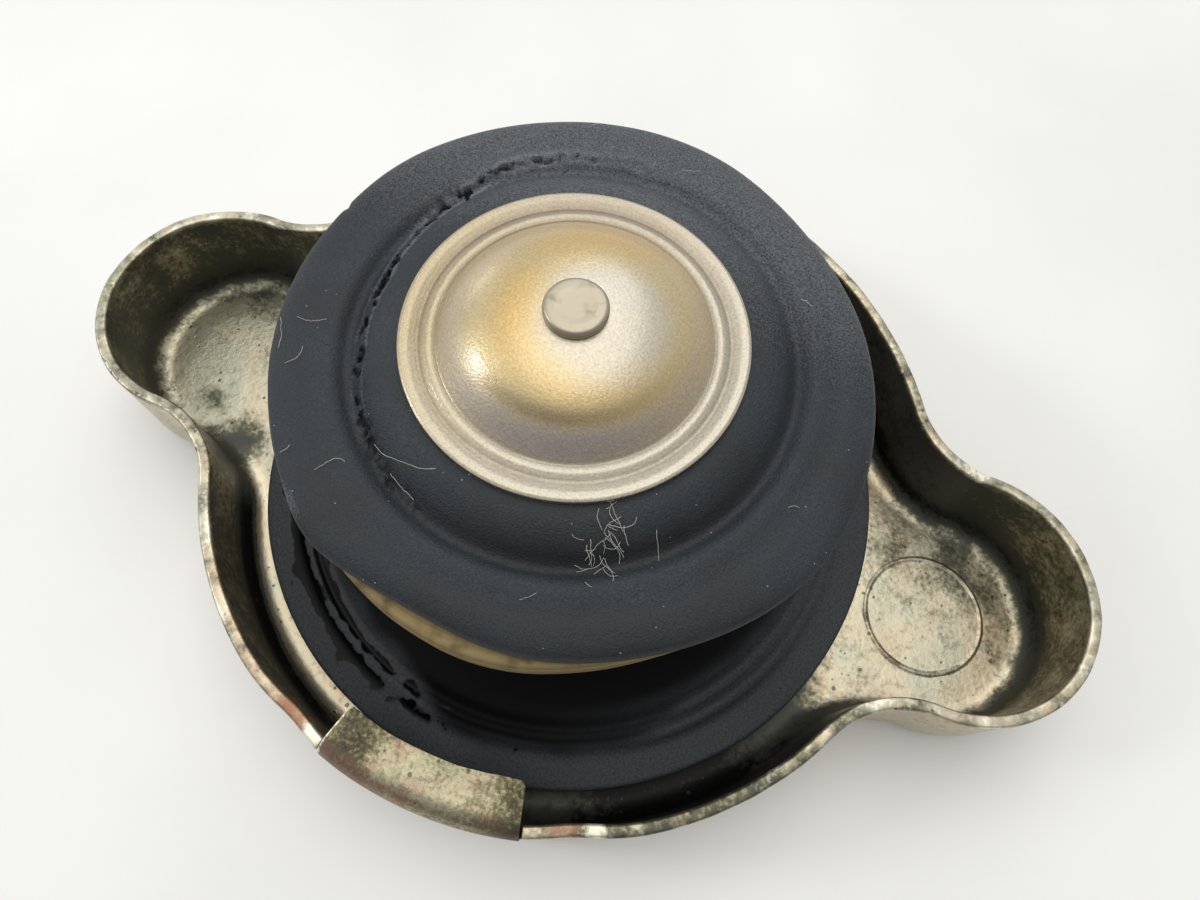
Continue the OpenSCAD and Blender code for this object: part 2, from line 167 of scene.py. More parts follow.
def grain(points: np.ndarray, size: float, seed: float = 0.0) -> np.ndarray:
    """Samples smooth noise.

    Args:
        points: Places in millimetres, with the coordinates on the last axis.
        size: Width of the noise's features in millimetres.
        seed: A number that picks another part of the noise.

    Returns:
        Values from about -1 to 1, one for each place.
    """
    shift = np.array([17.3, 9.1, 5.7]) * seed
    flat = points.reshape(-1, 3) / size + shift
    return np.array([noise.noise(Vector(place)) for place in flat]).reshape(points.shape[:-1])


def bell_curve(values: np.ndarray, middle: float, width: float) -> np.ndarray:
    """Gives 1 at the middle and falls off to both sides over the width."""
    return np.exp(-(((values - middle) / width) ** 2))


def ease(values: np.ndarray, start: np.ndarray | float, stop: np.ndarray | float) -> np.ndarray:
    """Runs smoothly from 0 at start to 1 at stop."""
    share = np.clip((values - start) / (stop - start), 0, 1)
    return share * share * (3 - 2 * share)


def turn_from(angles: np.ndarray, middle: float) -> np.ndarray:
    """Gives angles in degrees from a middle direction, from -180 to 180."""
    return (np.degrees(angles) - middle + 180) % 360 - 180


def toward(angles: np.ndarray, middle: float, width: float) -> np.ndarray:
    """Gives 1 in a direction and falls off to both sides over the width, both in degrees."""
    return bell_curve(turn_from(angles, middle), 0, width)


def marked(angles: np.ndarray, marks: Marks) -> np.ndarray:
    """Adds up marks round the axis, each with its direction, width and amount."""
    return sum(amount * toward(angles, middle, width) for middle, width, amount in marks)


def polar(places: np.ndarray) -> tuple[np.ndarray, np.ndarray]:
    """Gives the distance of places from the cap's axis and their angles about it."""
    return np.hypot(places[..., 0], places[..., 1]), np.arctan2(places[..., 1], places[..., 0])


def places_at(
    radii: np.ndarray | float, angles: np.ndarray, heights: np.ndarray | float
) -> np.ndarray:
    """Gives places from their distance to the axis, angle about it and height."""
    return np.stack(np.broadcast_arrays(radii * np.cos(angles), radii * np.sin(angles), heights), -1)


def raised(plan: np.ndarray, heights: np.ndarray | float) -> np.ndarray:
    """Lifts points of a plan to their heights."""
    return np.concatenate([plan, np.broadcast_to(heights, (len(plan),))[:, None]], 1)


def soft_corners(corners: Sequence[tuple[float, float, float]], steps: int = 5) -> np.ndarray:
    """Rounds the corners of a closed profile.

    Args:
        corners: Radius, height and corner radius of each corner.
        steps: Number of short edges in each rounded corner.

    Returns:
        The profile's points, as radius and height.
    """
    points: list[np.ndarray] = []
    for index, (radius, height, round_r) in enumerate(corners):
        corner = np.array([radius, height])
        if round_r == 0:
            points.append(corner)
            continue
        back = np.array(corners[index - 1][:2]) - corner
        ahead = np.array(corners[(index + 1) % len(corners)][:2]) - corner
        back, ahead = back / np.linalg.norm(back), ahead / np.linalg.norm(ahead)
        half = math.acos(float(np.clip(back @ ahead, -1, 1))) / 2
        middle = corner + (back + ahead) / np.linalg.norm(back + ahead) * round_r / math.sin(half)
        first, last = corner + back * round_r / math.tan(half), corner + ahead * round_r / math.tan(half)
        start = math.atan2(*(first - middle)[::-1])
        sweep = (math.atan2(*(last - middle)[::-1]) - start + math.pi) % FULL_TURN - math.pi
        for step in range(steps + 1):
            angle = start + sweep * step / steps
            points.append(middle + round_r * np.array([math.cos(angle), math.sin(angle)]))
    return np.array(points)


def smooth_curve(knots: Sequence[tuple[float, float]], places: np.ndarray) -> np.ndarray:
    """Reads a smooth curve through knots.

    Args:
        knots: Place and height of each knot, with rising places.
        places: Where the curve is read.

    Returns:
        The curve's height at each place.
    """
    x, y = np.array(knots).T
    slopes = np.gradient(y, x)
    cell = np.clip(np.searchsorted(x, places) - 1, 0, len(x) - 2)
    width = x[cell + 1] - x[cell]
    t = np.clip((places - x[cell]) / width, 0, 1)
    start, stop = (1 + 2 * t) * (1 - t) ** 2, t * t * (3 - 2 * t)
    lead, trail = t * (1 - t) ** 2 * width, t * t * (t - 1) * width
    return y[cell] * start + y[cell + 1] * stop + slopes[cell] * lead + slopes[cell + 1] * trail


def dense(profile: np.ndarray, step: float, closed: bool = True) -> np.ndarray:
    """Splits the long edges of a profile.

    Args:
        profile: Points as radius and height.
        step: The longest edge that stays whole.
        closed: Whether the last point joins the first one.

    Returns:
        The profile with the points that were put in.
    """
    points: list[np.ndarray] = []
    ends = np.roll(profile, -1, axis=0) if closed else profile[1:]
    for first, last in zip(profile, ends):
        count = max(1, math.ceil(float(np.linalg.norm(last - first)) / step))
        points += [first + (last - first) * part / count for part in range(count)]
    if not closed:
        points.append(profile[-1])
    return np.array(points)


def quads(numbers: np.ndarray) -> np.ndarray:
    """Gives the four corners of every cell in a grid of point numbers."""
    near, far = numbers[:-1], numbers[1:]
    return np.stack([near[:, :-1], near[:, 1:], far[:, 1:], far[:, :-1]], -1).reshape(-1, 4)


def tube_faces(rings: int, sides: int, first: int = 0) -> list[list[int]]:
    """Lays out the faces of a tube with a flat cap at each end.

    Args:
        rings: Number of rings along the tube.
        sides: Number of points in a ring.
        first: The number of the tube's first point.

    Returns:
        The point numbers of each face.
    """
    numbers = first + np.arange(rings * sides).reshape(rings, sides)
    walls = quads(np.pad(numbers, ((0, 0), (0, 1)), mode="wrap"))
    return [*walls.tolist(), numbers[0].tolist(), numbers[-1].tolist()]


def link(name: str, data: bpy.types.ID) -> bpy.types.Object:
    """Makes an object from its data and links it to the scene."""
    made = bpy.data.objects.new(name, data)
    bpy.context.scene.collection.objects.link(made)
    return made


def solid(
    name: str,
    points: np.ndarray,
    faces: Iterable[Sequence[int]],
    masks: Masks | None = None,
    crease_deg: float = 50.0,
) -> bpy.types.Object:
    """Makes a clean mesh object from points and faces.

    Args:
        name: The piece's name.
        points: Places in millimetres.
        faces: Point numbers of each face.
        masks: Painted values by name, one for each point.
        crease_deg: Angle between faces above which an edge stays crisp.

    Returns:
        The new object, linked to the scene.
    """
    mesh = bpy.data.meshes.new(name)
    mesh.from_pydata((points * MM).tolist(), [], faces)
    for label, values in (masks or {}).items():
        layer = mesh.attributes.new(label, "FLOAT", "POINT")
        layer.data.foreach_set("value", np.asarray(values, np.float32).ravel())
    work = bmesh.new()
    work.from_mesh(mesh)
    bmesh.ops.remove_doubles(work, verts=work.verts, dist=1e-8)
    bmesh.ops.dissolve_degenerate(work, edges=work.edges, dist=1e-8)
    bmesh.ops.recalc_face_normals(work, faces=work.faces)
    work.to_mesh(mesh)
    work.free()
    mesh.shade_smooth()
    mesh.set_sharp_from_angle(angle=math.radians(crease_deg))
    return link(name, mesh)


def loft(
    name: str,
    grid: np.ndarray,
    masks: Masks | None = None,
    closed_rows: bool = True,
    crease_deg: float = 50.0,
) -> bpy.types.Object:
    """Makes a closed mesh from rings of points.

    Args:
        name: The piece's name.
        grid: Points in millimetres: rings, points of a ring, coordinates. Each ring is closed.
        masks: Painted values by name, one for each point.
        closed_rows: Whether the last ring joins the first one.
        crease_deg: Angle between faces above which an edge stays crisp.

    Returns:
        The new object, linked to the scene.
    """
    numbers = np.arange(grid[..., 0].size).reshape(grid.shape[:2])
    faces = quads(np.pad(numbers, ((0, int(closed_rows)), (0, 1)), mode="wrap"))
    return solid(name, grid.reshape(-1, 3), faces.tolist(), masks, crease_deg)


def turned(
    name: str,
    profile: np.ndarray,
    segments: int,
    warp: Warp | None = None,
    paint: Paint | None = None,
    closed: bool = True,
) -> bpy.types.Object:
    """Turns a profile about the cap's axis.

    Args:
        name: The piece's name.
        profile: Points as radius and height in millimetres.
        segments: Number of steps round the axis.
        warp: Moves the points, for wear and soft shapes.
        paint: Gives the painted values at the points.
        closed: Whether the profile is a closed loop. An open one ends on the axis.

    Returns:
        The new object.
    """
    angles = np.linspace(0, FULL_TURN, segments, endpoint=False)[None, :]
    grid = places_at(profile[:, :1], angles, profile[:, 1:])
    if warp:
        grid = warp(grid)
    return loft(name, grid, paint(grid) if paint else None, closed_rows=closed)


def seat(
    piece: bpy.types.Object,
    body: Body,
    finish: bpy.types.Material,
    stands_for: Sequence[str] = (),
) -> None:
    """Gives a piece its finish and the body that it moves with.

    Args:
        piece: The new object.
        body: The body that carries it.
        finish: Its material.
        stands_for: The solids that it is shown in place of.
    """
    piece.data.materials.append(finish)
    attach(piece, body.value)
    if stands_for:
        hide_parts(*stands_for)
    LOG.info("%s rides on %s with %d points", piece.name, body.value, len(piece.data.vertices))


# Finishes


@dataclass(frozen=True)
class Finish:
    """A surface that is named for its real material."""

    name: str

    def dress(self, node: Adder, place: bpy.types.NodeSocket) -> dict[str, Any]:
        """Adds the nodes of the surface.

        Args:
            node: Adds one node to the material.
            place: Places in the cap's frame, in metres.

        Returns:
            Values and sockets for the shader's inputs.
        """
        raise NotImplementedError

    def material(self) -> bpy.types.Material:
        """Makes the material.

        Returns:
            The new material.
        """
        made = bpy.data.materials.new(self.name)
        made.use_nodes = True
        made.node_tree.nodes.clear()
        node = partial(add, made.node_tree)
        place = node("TexCoord", out="Object")
        surface = node("BsdfPrincipled", self.dress(node, place))
        node("OutputMaterial", {"Surface": surface})
        return made


@dataclass(frozen=True)
class TarnishedPlating(Finish):
    """Nickel-plated pressed steel, grown dull.

    Clean plating gives soft cream reflections. Where it has tarnished it turns olive, then brown-black
    and dull, with ragged, speckled borders. Pits show as small dark dots, and corners and the rim are
    worn bright, with a coppery undercoat in places. The dark layers also carry painted shade, and the
    bright one painted glints, where the shell's masks put them.
    """

    clean: str = "#c9bfa5"
    warm: str = "#c6b297"
    green: str = "#babaa5"
    olive: str = "#62624f"
    pepper: str = "#8a765a"
    dark: str = "#4d4e47"
    pitted: str = "#51432f"
    soot_and_shade: str = "#0c0b09"
    copper: str = "#a67a5f"
    bright: str = "#efe8d2"
    blotch_mm: float = 2.6
    speckle_mm: float = 0.4
    freckle_mm: float = 0.7
    pit_mm: float = 0.8
    tint_mm: float = 4.5
    mottle_share: float = 1.1
    fine_share: float = 0.7
    cool_shift: float = -0.14

    # Amounts of tarnish between which each layer comes in
    film_range: tuple[float, float] = (0.12, 0.62)
    crust_range: tuple[float, float] = (0.48, 0.8)
    soot_range: tuple[float, float] = (0.95, 1.35)

    def dress(self, node: Adder, place: bpy.types.NodeSocket) -> dict[str, Any]:
        """Adds plating, tarnish with painted shade, pits, and the bright worn edge with painted glints.

        Args:
            node: Adds one node to the material.
            place: Places in the cap's frame, in metres.

        Returns:
            Values and sockets for the shader's inputs.
        """
        names = ("grime", "edge", "copper", "cool")
        grime, edge, rosy, cool = (node("Attribute", attribute_name=name, out="Fac") for name in names)
        patterns = (
            (self.blotch_mm, 7.0, 0.7),
            (self.speckle_mm, 3.0, 0.6),
            (self.freckle_mm, 4.0, 0.65),
            (self.tint_mm, 5.0, 0.5),
        )
        blotch, speckle, freckle, hue = (
            node("TexNoise", {"Vector": place, "Scale": per_mm(size), "Detail": detail, "Roughness": rough})
            for size, detail, rough in patterns
        )
        pits = node("TexVoronoi", {"Vector": place, "Scale": per_mm(self.pit_mm)}, out="Distance")
        pit_limit = node("MapRange", {0: pits.node.outputs["Color"], 1: 0.2, 2: 1.0, 3: 0.0, 4: 0.3})
        pit_depth = node("Math", {0: pit_limit, 1: pits}, operation="SUBTRACT")
        pit = node("MapRange", {0: pit_depth, 1: 0.0, 2: 0.08, 4: 0.75})

        # The borders of every layer are broken up by the same blotches and speckle
        mottle, fine = (
            node("Math", {0: pattern, 1: share, 2: -0.5 * share}, operation="MULTIPLY_ADD")
            for pattern, share in ((blotch, self.mottle_share), (speckle, self.fine_share))
        )
        ragged = node("Math", {0: mottle, 1: fine}, operation="ADD")
        amount, rosy_share, worn_and_glint_share = (
            node("Math", {0: mask, 1: ragged}, operation="ADD") for mask in (grime, rosy, edge)
        )
        film, crust = (
            node("MapRange", {0: amount, 1: start, 2: full}, interpolation_type="SMOOTHSTEP")
            for start, full in (self.film_range, self.crust_range)
        )
        soot_start, soot_full = self.soot_range
        # The darkest layers also paint shade, and the bright layer also paints glints
        layers = (
            (node("MapRange", {0: freckle, 1: 0.52, 2: 0.7, 4: 0.55}), self.pepper),
            (film, self.olive),
            (crust, self.dark),
            (node("MapRange", {0: amount, 1: soot_start, 2: soot_full}), self.soot_and_shade),
            (pit, self.pitted),
            (node("MapRange", {0: rosy_share, 1: 0.3, 2: 0.9, 4: 0.85}), self.copper),
            (node("MapRange", {0: worn_and_glint_share, 1: 0.45, 2: 0.75}), self.bright),
        )
        tint = node("Math", {0: cool, 1: self.cool_shift, 2: hue}, operation="MULTIPLY_ADD")
        colour = node("ValToRGB", {0: tint}, ramp=[(0.3, self.green), (0.5, self.clean), (0.7, self.warm)])
        for mask, code in layers:
            colour = node("Mix", {0: mask, 6: colour, 7: linear(code)}, **COLOUR_MIX)

        relief = node("Math", {0: pit, 1: -0.8, 2: speckle}, operation="MULTIPLY_ADD")
        swell = node("Math", {0: blotch, 1: 1.5, 2: relief}, operation="MULTIPLY_ADD")
        return {
            "Base Color": colour,
            "Metallic": node("MapRange", {0: crust, 3: 0.9, 4: 0.45}),
            "Roughness": node("MapRange", {0: amount, 1: 0.1, 2: 0.9, 3: 0.36, 4: 0.5}),
            "Normal": node("Bump", {"Strength": 0.4, "Distance": 0.07 * MM, "Height": swell}),
        }


@dataclass(frozen=True)
class CharcoalRubber(Finish):
    """Moulded nitrile rubber, gone matt.

    A dark charcoal with a fine grain that scatters the light, paler at scuffs and dust and where
    highlights and sheen are painted, and darker in pits and where shade is painted.
    The grain is drawn coarser than the real one so that it shows.
    """

    base: str = "#1e2225"
    pale: str = "#2b3033"
    pale_scuff_and_highlight: str = "#6b6e71"
    hole_and_shade: str = "#0b0c0e"
    dust: str = "#8a8c8e"
    grain_mm: float = 0.13
    cloud_mm: float = 5.0
    dust_mm: float = 1.1

    def dress(self, node: Adder, place: bpy.types.NodeSocket) -> dict[str, Any]:
        """Adds grain, dusty clouds, scuffs, and the painted highlights, sheen and shade.

        Args:
            node: Adds one node to the material.
            place: Places in the cap's frame, in metres.

        Returns:
            Values and sockets for the shader's inputs.
        """
        scuff, pit = (node("Attribute", attribute_name=name, out="Fac") for name in ("scuff", "pit"))
        cloud, fine = (
            node("TexNoise", {"Vector": place, "Scale": per_mm(size), "Detail": detail})
            for size, detail in ((self.cloud_mm, 5.0), (self.grain_mm, 2.0))
        )
        dots = node("TexVoronoi", {"Vector": place, "Scale": per_mm(self.dust_mm)}, out="Distance")
        speck = node("Math", {0: dots, 1: 0.04}, operation="LESS_THAN")
        rubber = node("ValToRGB", {0: cloud}, ramp=[(0.35, self.base), (0.72, self.pale)])
        sandy = node("MapRange", {0: fine, 1: 0.3, 2: 0.7, 3: 0.55, 4: 1.6})
        colour = node("VectorMath", {0: rubber, "Scale": sandy}, operation="SCALE")
        # Scuffs, dust and painted highlights and sheen turn pale; pits and painted shade turn dark
        pale_share = node("Math", {0: scuff, 1: fine}, operation="MULTIPLY")
        pale_mask = node("MapRange", {0: pale_share, 1: 0.2, 2: 0.62})
        for mask, code in ((pale_mask, self.pale_scuff_and_highlight), (pit, self.hole_and_shade), (speck, self.dust)):
            colour = node("Mix", {0: mask, 6: colour, 7: linear(code)}, **COLOUR_MIX)
        return {
            "Base Color": colour,
            "Roughness": node("MapRange", {0: cloud, 3: 0.5, 4: 0.68}),
            "Specular IOR Level": 0.42,
            "Normal": node("Bump", {"Strength": 0.95, "Distance": 0.06 * MM, "Height": fine}),
            "IOR": 1.5,
        }


@dataclass(frozen=True)
class WetSealRubber(Finish):
    """Moulded black rubber with a film of oil, and painted shadow.

    The dry outer ring is a dark slate grey. Oil runs out over the ribs on one side in glossy streaks
    with ragged borders. The middle and a wider band at the front are painted deep black as shadow.
    """

    dry: str = "#404345"
    oil_and_shadow_black: str = "#050506"
    streak_mm: float = 1.6
    grain_mm: float = 0.2

    def dress(self, node: Adder, place: bpy.types.NodeSocket) -> dict[str, Any]:
        """Adds the dry rubber, the streaks, and the painted shadow in the middle and at the front.

        Args:
            node: Adds one node to the material.
            place: Places in the cap's frame, in metres.

        Returns:
            Values and sockets for the shader's inputs.
        """
        film, pool = (node("Attribute", attribute_name=name, out="Fac") for name in ("film", "pool"))
        streak, fine = (
            node("TexNoise", {"Vector": place, "Scale": per_mm(size), "Detail": detail})
            for size, detail in ((self.streak_mm, 5.0), (self.grain_mm, 2.0))
        )
        ragged = node("Math", {0: streak, 1: film}, operation="ADD")
        run = node("MapRange", {0: ragged, 1: 0.86, 2: 0.96}, interpolation_type="SMOOTHSTEP")
        # The painted shadow joins the streaks of oil in the same deep black
        oil_and_shadow_share = node("Math", {0: run, 1: pool}, operation="MAXIMUM")
        dusty = node("MapRange", {0: fine, 1: 0.3, 2: 0.7, 3: 0.75, 4: 1.25})
        dry = node("VectorMath", {0: linear(self.dry)[:3], "Scale": dusty}, operation="SCALE")
        depth = node("MapRange", {0: oil_and_shadow_share, 3: 0.4, 4: 0.05})
        return {
            "Base Color": node("Mix", {0: oil_and_shadow_share, 6: dry, 7: linear(self.oil_and_shadow_black)}, **COLOUR_MIX),
            "Roughness": node("MapRange", {0: run, 3: 0.55, 4: 0.25}),
            "Specular IOR Level": 0.1,
            "Normal": node("Bump", {"Strength": depth, "Distance": 0.05 * MM, "Height": fine}),
            "IOR": 1.5,
        }


@dataclass(frozen=True)
class HeatTintedSteel(Finish):
    """Pressed plated steel with a satin grain and a gold tint from heat and coolant.

    The plate is a pale champagne. Round the dome the tint runs from straw to orange gold. On the front
    flank an umber ring and a smoky grey are painted reflections, painted shade darkens the dome's foot
    and the flange's groove, and the flange is darker on the left and at the back. Small dark specks of
    dirt sit on it.
    """

    plain: str = "#bfb8a8"
    straw: str = "#c9b78b"
    gold: str = "#d4b069"
    umber: str = "#7d6c4d"
    smoke: str = "#b7aba1"
    speck: str = "#3a3128"
    grain_mm: float = 0.16
    cloud_mm: float = 3.0
    speck_mm: float = 2.2

    def dress(self, node: Adder, place: bpy.types.NodeSocket) -> dict[str, Any]:
        """Adds tint with painted reflections and shade, grain and specks.

        Args:
            node: Adds one node to the material.
            place: Places in the cap's frame, in metres.

        Returns:
            Values and sockets for the shader's inputs.
        """
        names = ("straw", "gold", "umber", "smoke", "matt")
        *tints, matt = (node("Attribute", attribute_name=name, out="Fac") for name in names)
        cloud, fine = (
            node("TexNoise", {"Vector": place, "Scale": per_mm(size), "Detail": detail})
            for size, detail in ((self.cloud_mm, 6.0), (self.grain_mm, 3.0))
        )
        spread = node("Math", {0: cloud, 1: 0.5, 2: -0.25}, operation="MULTIPLY_ADD")
        colour = linear(self.plain)
        # The umber and smoky tints also carry painted reflections and shade
        for mask, code in zip(tints, (self.straw, self.gold, self.umber, self.smoke)):
            moved = node("Math", {0: mask, 1: spread, 2: mask}, operation="MULTIPLY_ADD")
            limited = node("Clamp", {0: moved})
            colour = node("Mix", {0: limited, 6: colour, 7: linear(code)}, **COLOUR_MIX)
        dots = node("TexVoronoi", {"Vector": place, "Scale": per_mm(self.speck_mm)}, out="Distance")
        dot_limit = node("MapRange", {0: dots.node.outputs["Color"], 1: 0.6, 2: 1.0, 3: 0.0, 4: 0.09})
        dot = node("Math", {0: dots, 1: dot_limit}, operation="LESS_THAN")
        grained = node("MapRange", {0: fine, 1: 0.3, 2: 0.7, 3: 0.8, 4: 1.08})
        toned = node("VectorMath", {0: colour, "Scale": grained}, operation="SCALE")
        normal = node("Bump", {"Strength": 0.45, "Distance": 0.04 * MM, "Height": fine})
        return {
            "Base Color": node("Mix", {0: dot, 6: toned, 7: linear(self.speck)}, **COLOUR_MIX),
            "Metallic": node("MapRange", {0: dot, 3: 0.88, 4: 0.1}),
            "Roughness": node("MapRange", {0: matt, 3: 0.41, 4: 0.47}),
            "Normal": normal,
            "Coat Weight": 1.0,
            "Coat Roughness": 0.12,
            "Coat Normal": normal,
        }


@dataclass(frozen=True)
class WornMetal(Finish):
    """Bare or plated metal in everyday wear.

    It has a broad soft gloss, with cloudy darker stains and a fine grain from rolling or drawing.
    """

    base: str
    stain: str
    roughness: float
    stain_share: float = 0.5
    cloud_mm: float = 2.6
    grain_mm: float = 0.25

    def dress(self, node: Adder, place: bpy.types.NodeSocket) -> dict[str, Any]:
        """Adds stains and grain.

        Args:
            node: Adds one node to the material.
            place: Places in the cap's frame, in metres.

        Returns:
            Values and sockets for the shader's inputs.
        """
        cloud, fine = (
            node("TexNoise", {"Vector": place, "Scale": per_mm(size), "Detail": detail})
            for size, detail in ((self.cloud_mm, 6.0), (self.grain_mm, 3.0))
        )
        low = 0.7 - 0.5 * self.stain_share
        stained = node("MapRange", {0: cloud, 1: low, 2: low + 0.3}, interpolation_type="SMOOTHSTEP")
        colours = {0: stained, 6: linear(self.base), 7: linear(self.stain)}
        return {
            "Base Color": node("Mix", colours, **COLOUR_MIX),
            "Metallic": 0.95,
            "Roughness": node("MapRange", {0: stained, 3: self.roughness, 4: self.roughness + 0.18}),
            "Normal": node("Bump", {"Strength": 0.15, "Distance": 0.04 * MM, "Height": fine}),
        }


@dataclass(frozen=True)
class CloudyPaleFinish(Finish):
    """A pale surface without metal, uneven in soft clouds."""

    base: str
    shade: str
    cloud_mm: float
    detail: float
    roughness: float
    ior: float

    def dress(self, node: Adder, place: bpy.types.NodeSocket) -> dict[str, Any]:
        """Adds the clouds.

        Args:
            node: Adds one node to the material.
            place: Places in the cap's frame, in metres.

        Returns:
            Values and sockets for the shader's inputs.
        """
        cloud = node("TexNoise", {"Vector": place, "Scale": per_mm(self.cloud_mm), "Detail": self.detail})
        colour = node("ValToRGB", {0: cloud}, ramp=[(0.35, self.shade), (0.65, self.base)])
        return {"Base Color": colour, "Roughness": self.roughness, "IOR": self.ior}


@dataclass(frozen=True)
class CottonLint(CloudyPaleFinish):
    """Loose cotton fibre: pale, soft and without gloss."""

    base: str = "#d8d4ca"
    shade: str = "#b4b0a6"
    cloud_mm: float = 1.5
    detail: float = 2.0
    roughness: float = 0.9
    ior: float = 1.53


@dataclass(frozen=True)
class PaintedBoard(CloudyPaleFinish):
    """Satin white paint on a board: off-white with faint clouds."""

    base: str = "#f1f0ec"
    shade: str = "#eae9e4"
    cloud_mm: float = 40.0
    detail: float = 6.0
    roughness: float = 0.55
    ior: float = 1.5


# Pieces


@dataclass(frozen=True)
class Patch:
    """A stained or cleaner place on the shell, seen from above."""

    x: float
    y: float
    radius: float
    amount: float


@dataclass
class Shell:
    """The pressed sheet shell with its ears and locking lugs."""

    plating: bpy.types.Material
    lug_plating: bpy.types.Material
    radius: float = 29.5
    height: float = 10.4
    sheet: float = 0.9
    bend_r: float = 1.8
    ear_r: float = 10.1
    ear_x: float = 32.65
    neck_r: float = 7.5
    hole_r: float = 2.8
    pocket_r: float = 8.0
    pocket_h: float = 0.8
    rim_round: float = 0.22
    ring_r: float = 5.0
    ring_w: float = 0.28
    ring_h: float = 0.08
    ring_root: float = 0.3
    lug_half_deg: float = 15.0
    lug_reach: float = 4.0
    lug_top: float = 11.0
    lug_fold_r: float = 1.5
    lug_corner: float = 0.55
    lug_foot: float = 8.7
    lug_proud: float = 0.012
    lug_edge: float = 0.16
    outline_step: float = 0.4
    floor_rings: int = 40
    under_rings: int = 18
    wall_rings: int = 13
    bend_steps: int = 8
    lug_columns: int = 75
    dent: float = 0.16
    ring_segments: int = 128

    # Direction, width and depth of the places beside the front lug where folding pulled the skirt in
    pulled: Marks = ((-111.0, 5.0, 0.38), (-68.0, 5.5, 0.38))

    # Direction, width and strength of the rim's coppery stretches and of its painted glints
    coppery: Marks = ((-111.0, 5.0, 1.0), (-69.5, 4.0, 0.75))
    rim_glints: Marks = ((-107.0, 1.4, 1.0), (-64.5, 1.2, 1.0))

    # Direction and width of the inner wall's stretch of painted shade, and of the darker rim
    # above it
    shaded_wall: tuple[float, float] = (-52.0, 32.0)
    dark_rim: tuple[float, float] = (-50.0, 22.0)

    # Where the sheet is stained more or less than the rest of its zone
    stains: tuple[Patch, ...] = (
        Patch(-34.9, 4.9, 2.2, 0.42),
        Patch(-31.6, -3.1, 1.6, -0.35),
        Patch(-34.0, -4.9, 1.1, 0.62),
        Patch(-29.6, -7.6, 2.6, 0.52),
        Patch(-32.0, 0.5, 1.2, 0.34),
        Patch(-36.5, -1.0, 0.7, 0.25),
        Patch(-36.2, 1.0, 0.6, 0.25),
        Patch(-39.0, -4.5, 1.5, 0.2),
        Patch(36.6, 3.6, 1.6, 0.3),
        Patch(34.0, 6.0, 2.2, 0.3),
        Patch(29.0, 5.0, 1.5, 0.25),
        Patch(39.5, -1.0, 1.6, 0.12),
        Patch(30.0, -2.0, 7.0, -0.12),
    )

    def outline(self) -> tuple[np.ndarray, np.ndarray]:
        """Lays out the shell's outer edge, seen from above.

        Returns:
            The outline's points and their outward directions, counterclockwise from the +X ear.
        """
        wide, narrow = self.radius + self.neck_r, self.ear_r + self.neck_r
        neck_x = (wide**2 - narrow**2 + self.ear_x**2) / (2 * self.ear_x)
        neck_y = math.sqrt(wide**2 - neck_x**2)
        to_neck = math.atan2(neck_y, neck_x - self.ear_x)
        runs = (
            ((self.ear_x, 0.0), self.ear_r, 0.0, to_neck, 1),
            ((neck_x, neck_y), self.neck_r, to_neck - math.pi, math.atan2(-neck_y, -neck_x), -1),
            ((0.0, 0.0), self.radius, math.atan2(neck_y, neck_x), QUARTER_TURN, 1),
        )
        points, outward = [], []
        for middle, run_r, start, stop, side in runs:
            count = math.ceil(abs(stop - start) * run_r / self.outline_step)
            angles = np.linspace(start, stop, count, endpoint=False)
            spokes = np.stack([np.cos(angles), np.sin(angles)], -1)
            points.append(np.array(middle) + run_r * spokes)
            outward.append(side * spokes)
        top = np.array([[0.0, self.radius]])
        mirror = np.array([-1, 1])
        wholes = []
        for quarter, last in ((np.concatenate(points), top), (np.concatenate(outward), top / self.radius)):
            half = np.concatenate([quarter, last, quarter[:0:-1] * mirror])
            wholes.append(np.concatenate([half, -half]))
        return wholes[0], wholes[1]

    def inward_dent(self, places: np.ndarray) -> np.ndarray:
        """Gives how far the skirt is pushed in.

        Args:
            places: Places on the skirt.

        Returns:
            The dent's depth at each place.
        """
        _, angles = polar(places)
        broad = 0.5 * self.dent * (1 - grain(places, 11.0, 1))
        small = 0.18 * self.dent * (1 - grain(places, 2.6, 2))
        high = ease(places[..., 2], 5.0, self.height)
        round_part = ease(-np.abs(places[..., 0]), -20.0, -14.0)
        return broad + small + marked(angles, self.pulled) * high * round_part

    def sections(self) -> list[tuple[Zone, np.ndarray]]:
        """Lays out the rings of the sheet.

        Returns:
            The zone and the points of each ring, in order round the sheet's section.
        """
        edge, outward = self.outline()
        edge_r, angles = polar(edge)
        from_lug = np.minimum(np.abs(turn_from(angles, 90)), np.abs(turn_from(angles, -90)))
        under_lug = (from_lug < self.lug_half_deg) & (edge_r < self.radius + 0.1)
        level = raised(edge, self.height)
        rim_z = self.height - 0.1 * (1 + grain(level, 5.0, 3)) - 0.05 * (1 + grain(level, 1.2, 4))
        rim_z = np.where(under_lug, self.lug_foot + 0.2, rim_z)
        flat_r = self.sheet + self.bend_r
        inner_edge = edge - outward * flat_r
        _, inner_angles = polar(inner_edge)

        def ring(inset: float, heights: np.ndarray | float) -> np.ndarray:
            """Gives a ring parallel to the outline, dented as the skirt is there.

            Args:
                inset: How far the ring lies inside the outline.
                heights: Its height, or the height of each of its points.

            Returns:
                The ring's points.
            """
            places = raised(edge - outward * inset, heights)
            push = self.inward_dent(raised(edge, heights)) * ease(places[:, 2], 0.0, flat_r)
            places[:, :2] -= outward * push[:, None]
            return places

        def circle(radius: float, height: float) -> np.ndarray:
            """Gives a round ring about the axis."""
            return places_at(radius, inner_angles, height)

        def spread(share: float, radius: float, height: float) -> np.ndarray:
            """Gives a ring between a circle at share 0 and the flat's edge at share 1."""
            return circle(radius, height) * (1 - share) + raised(inner_edge, height) * share

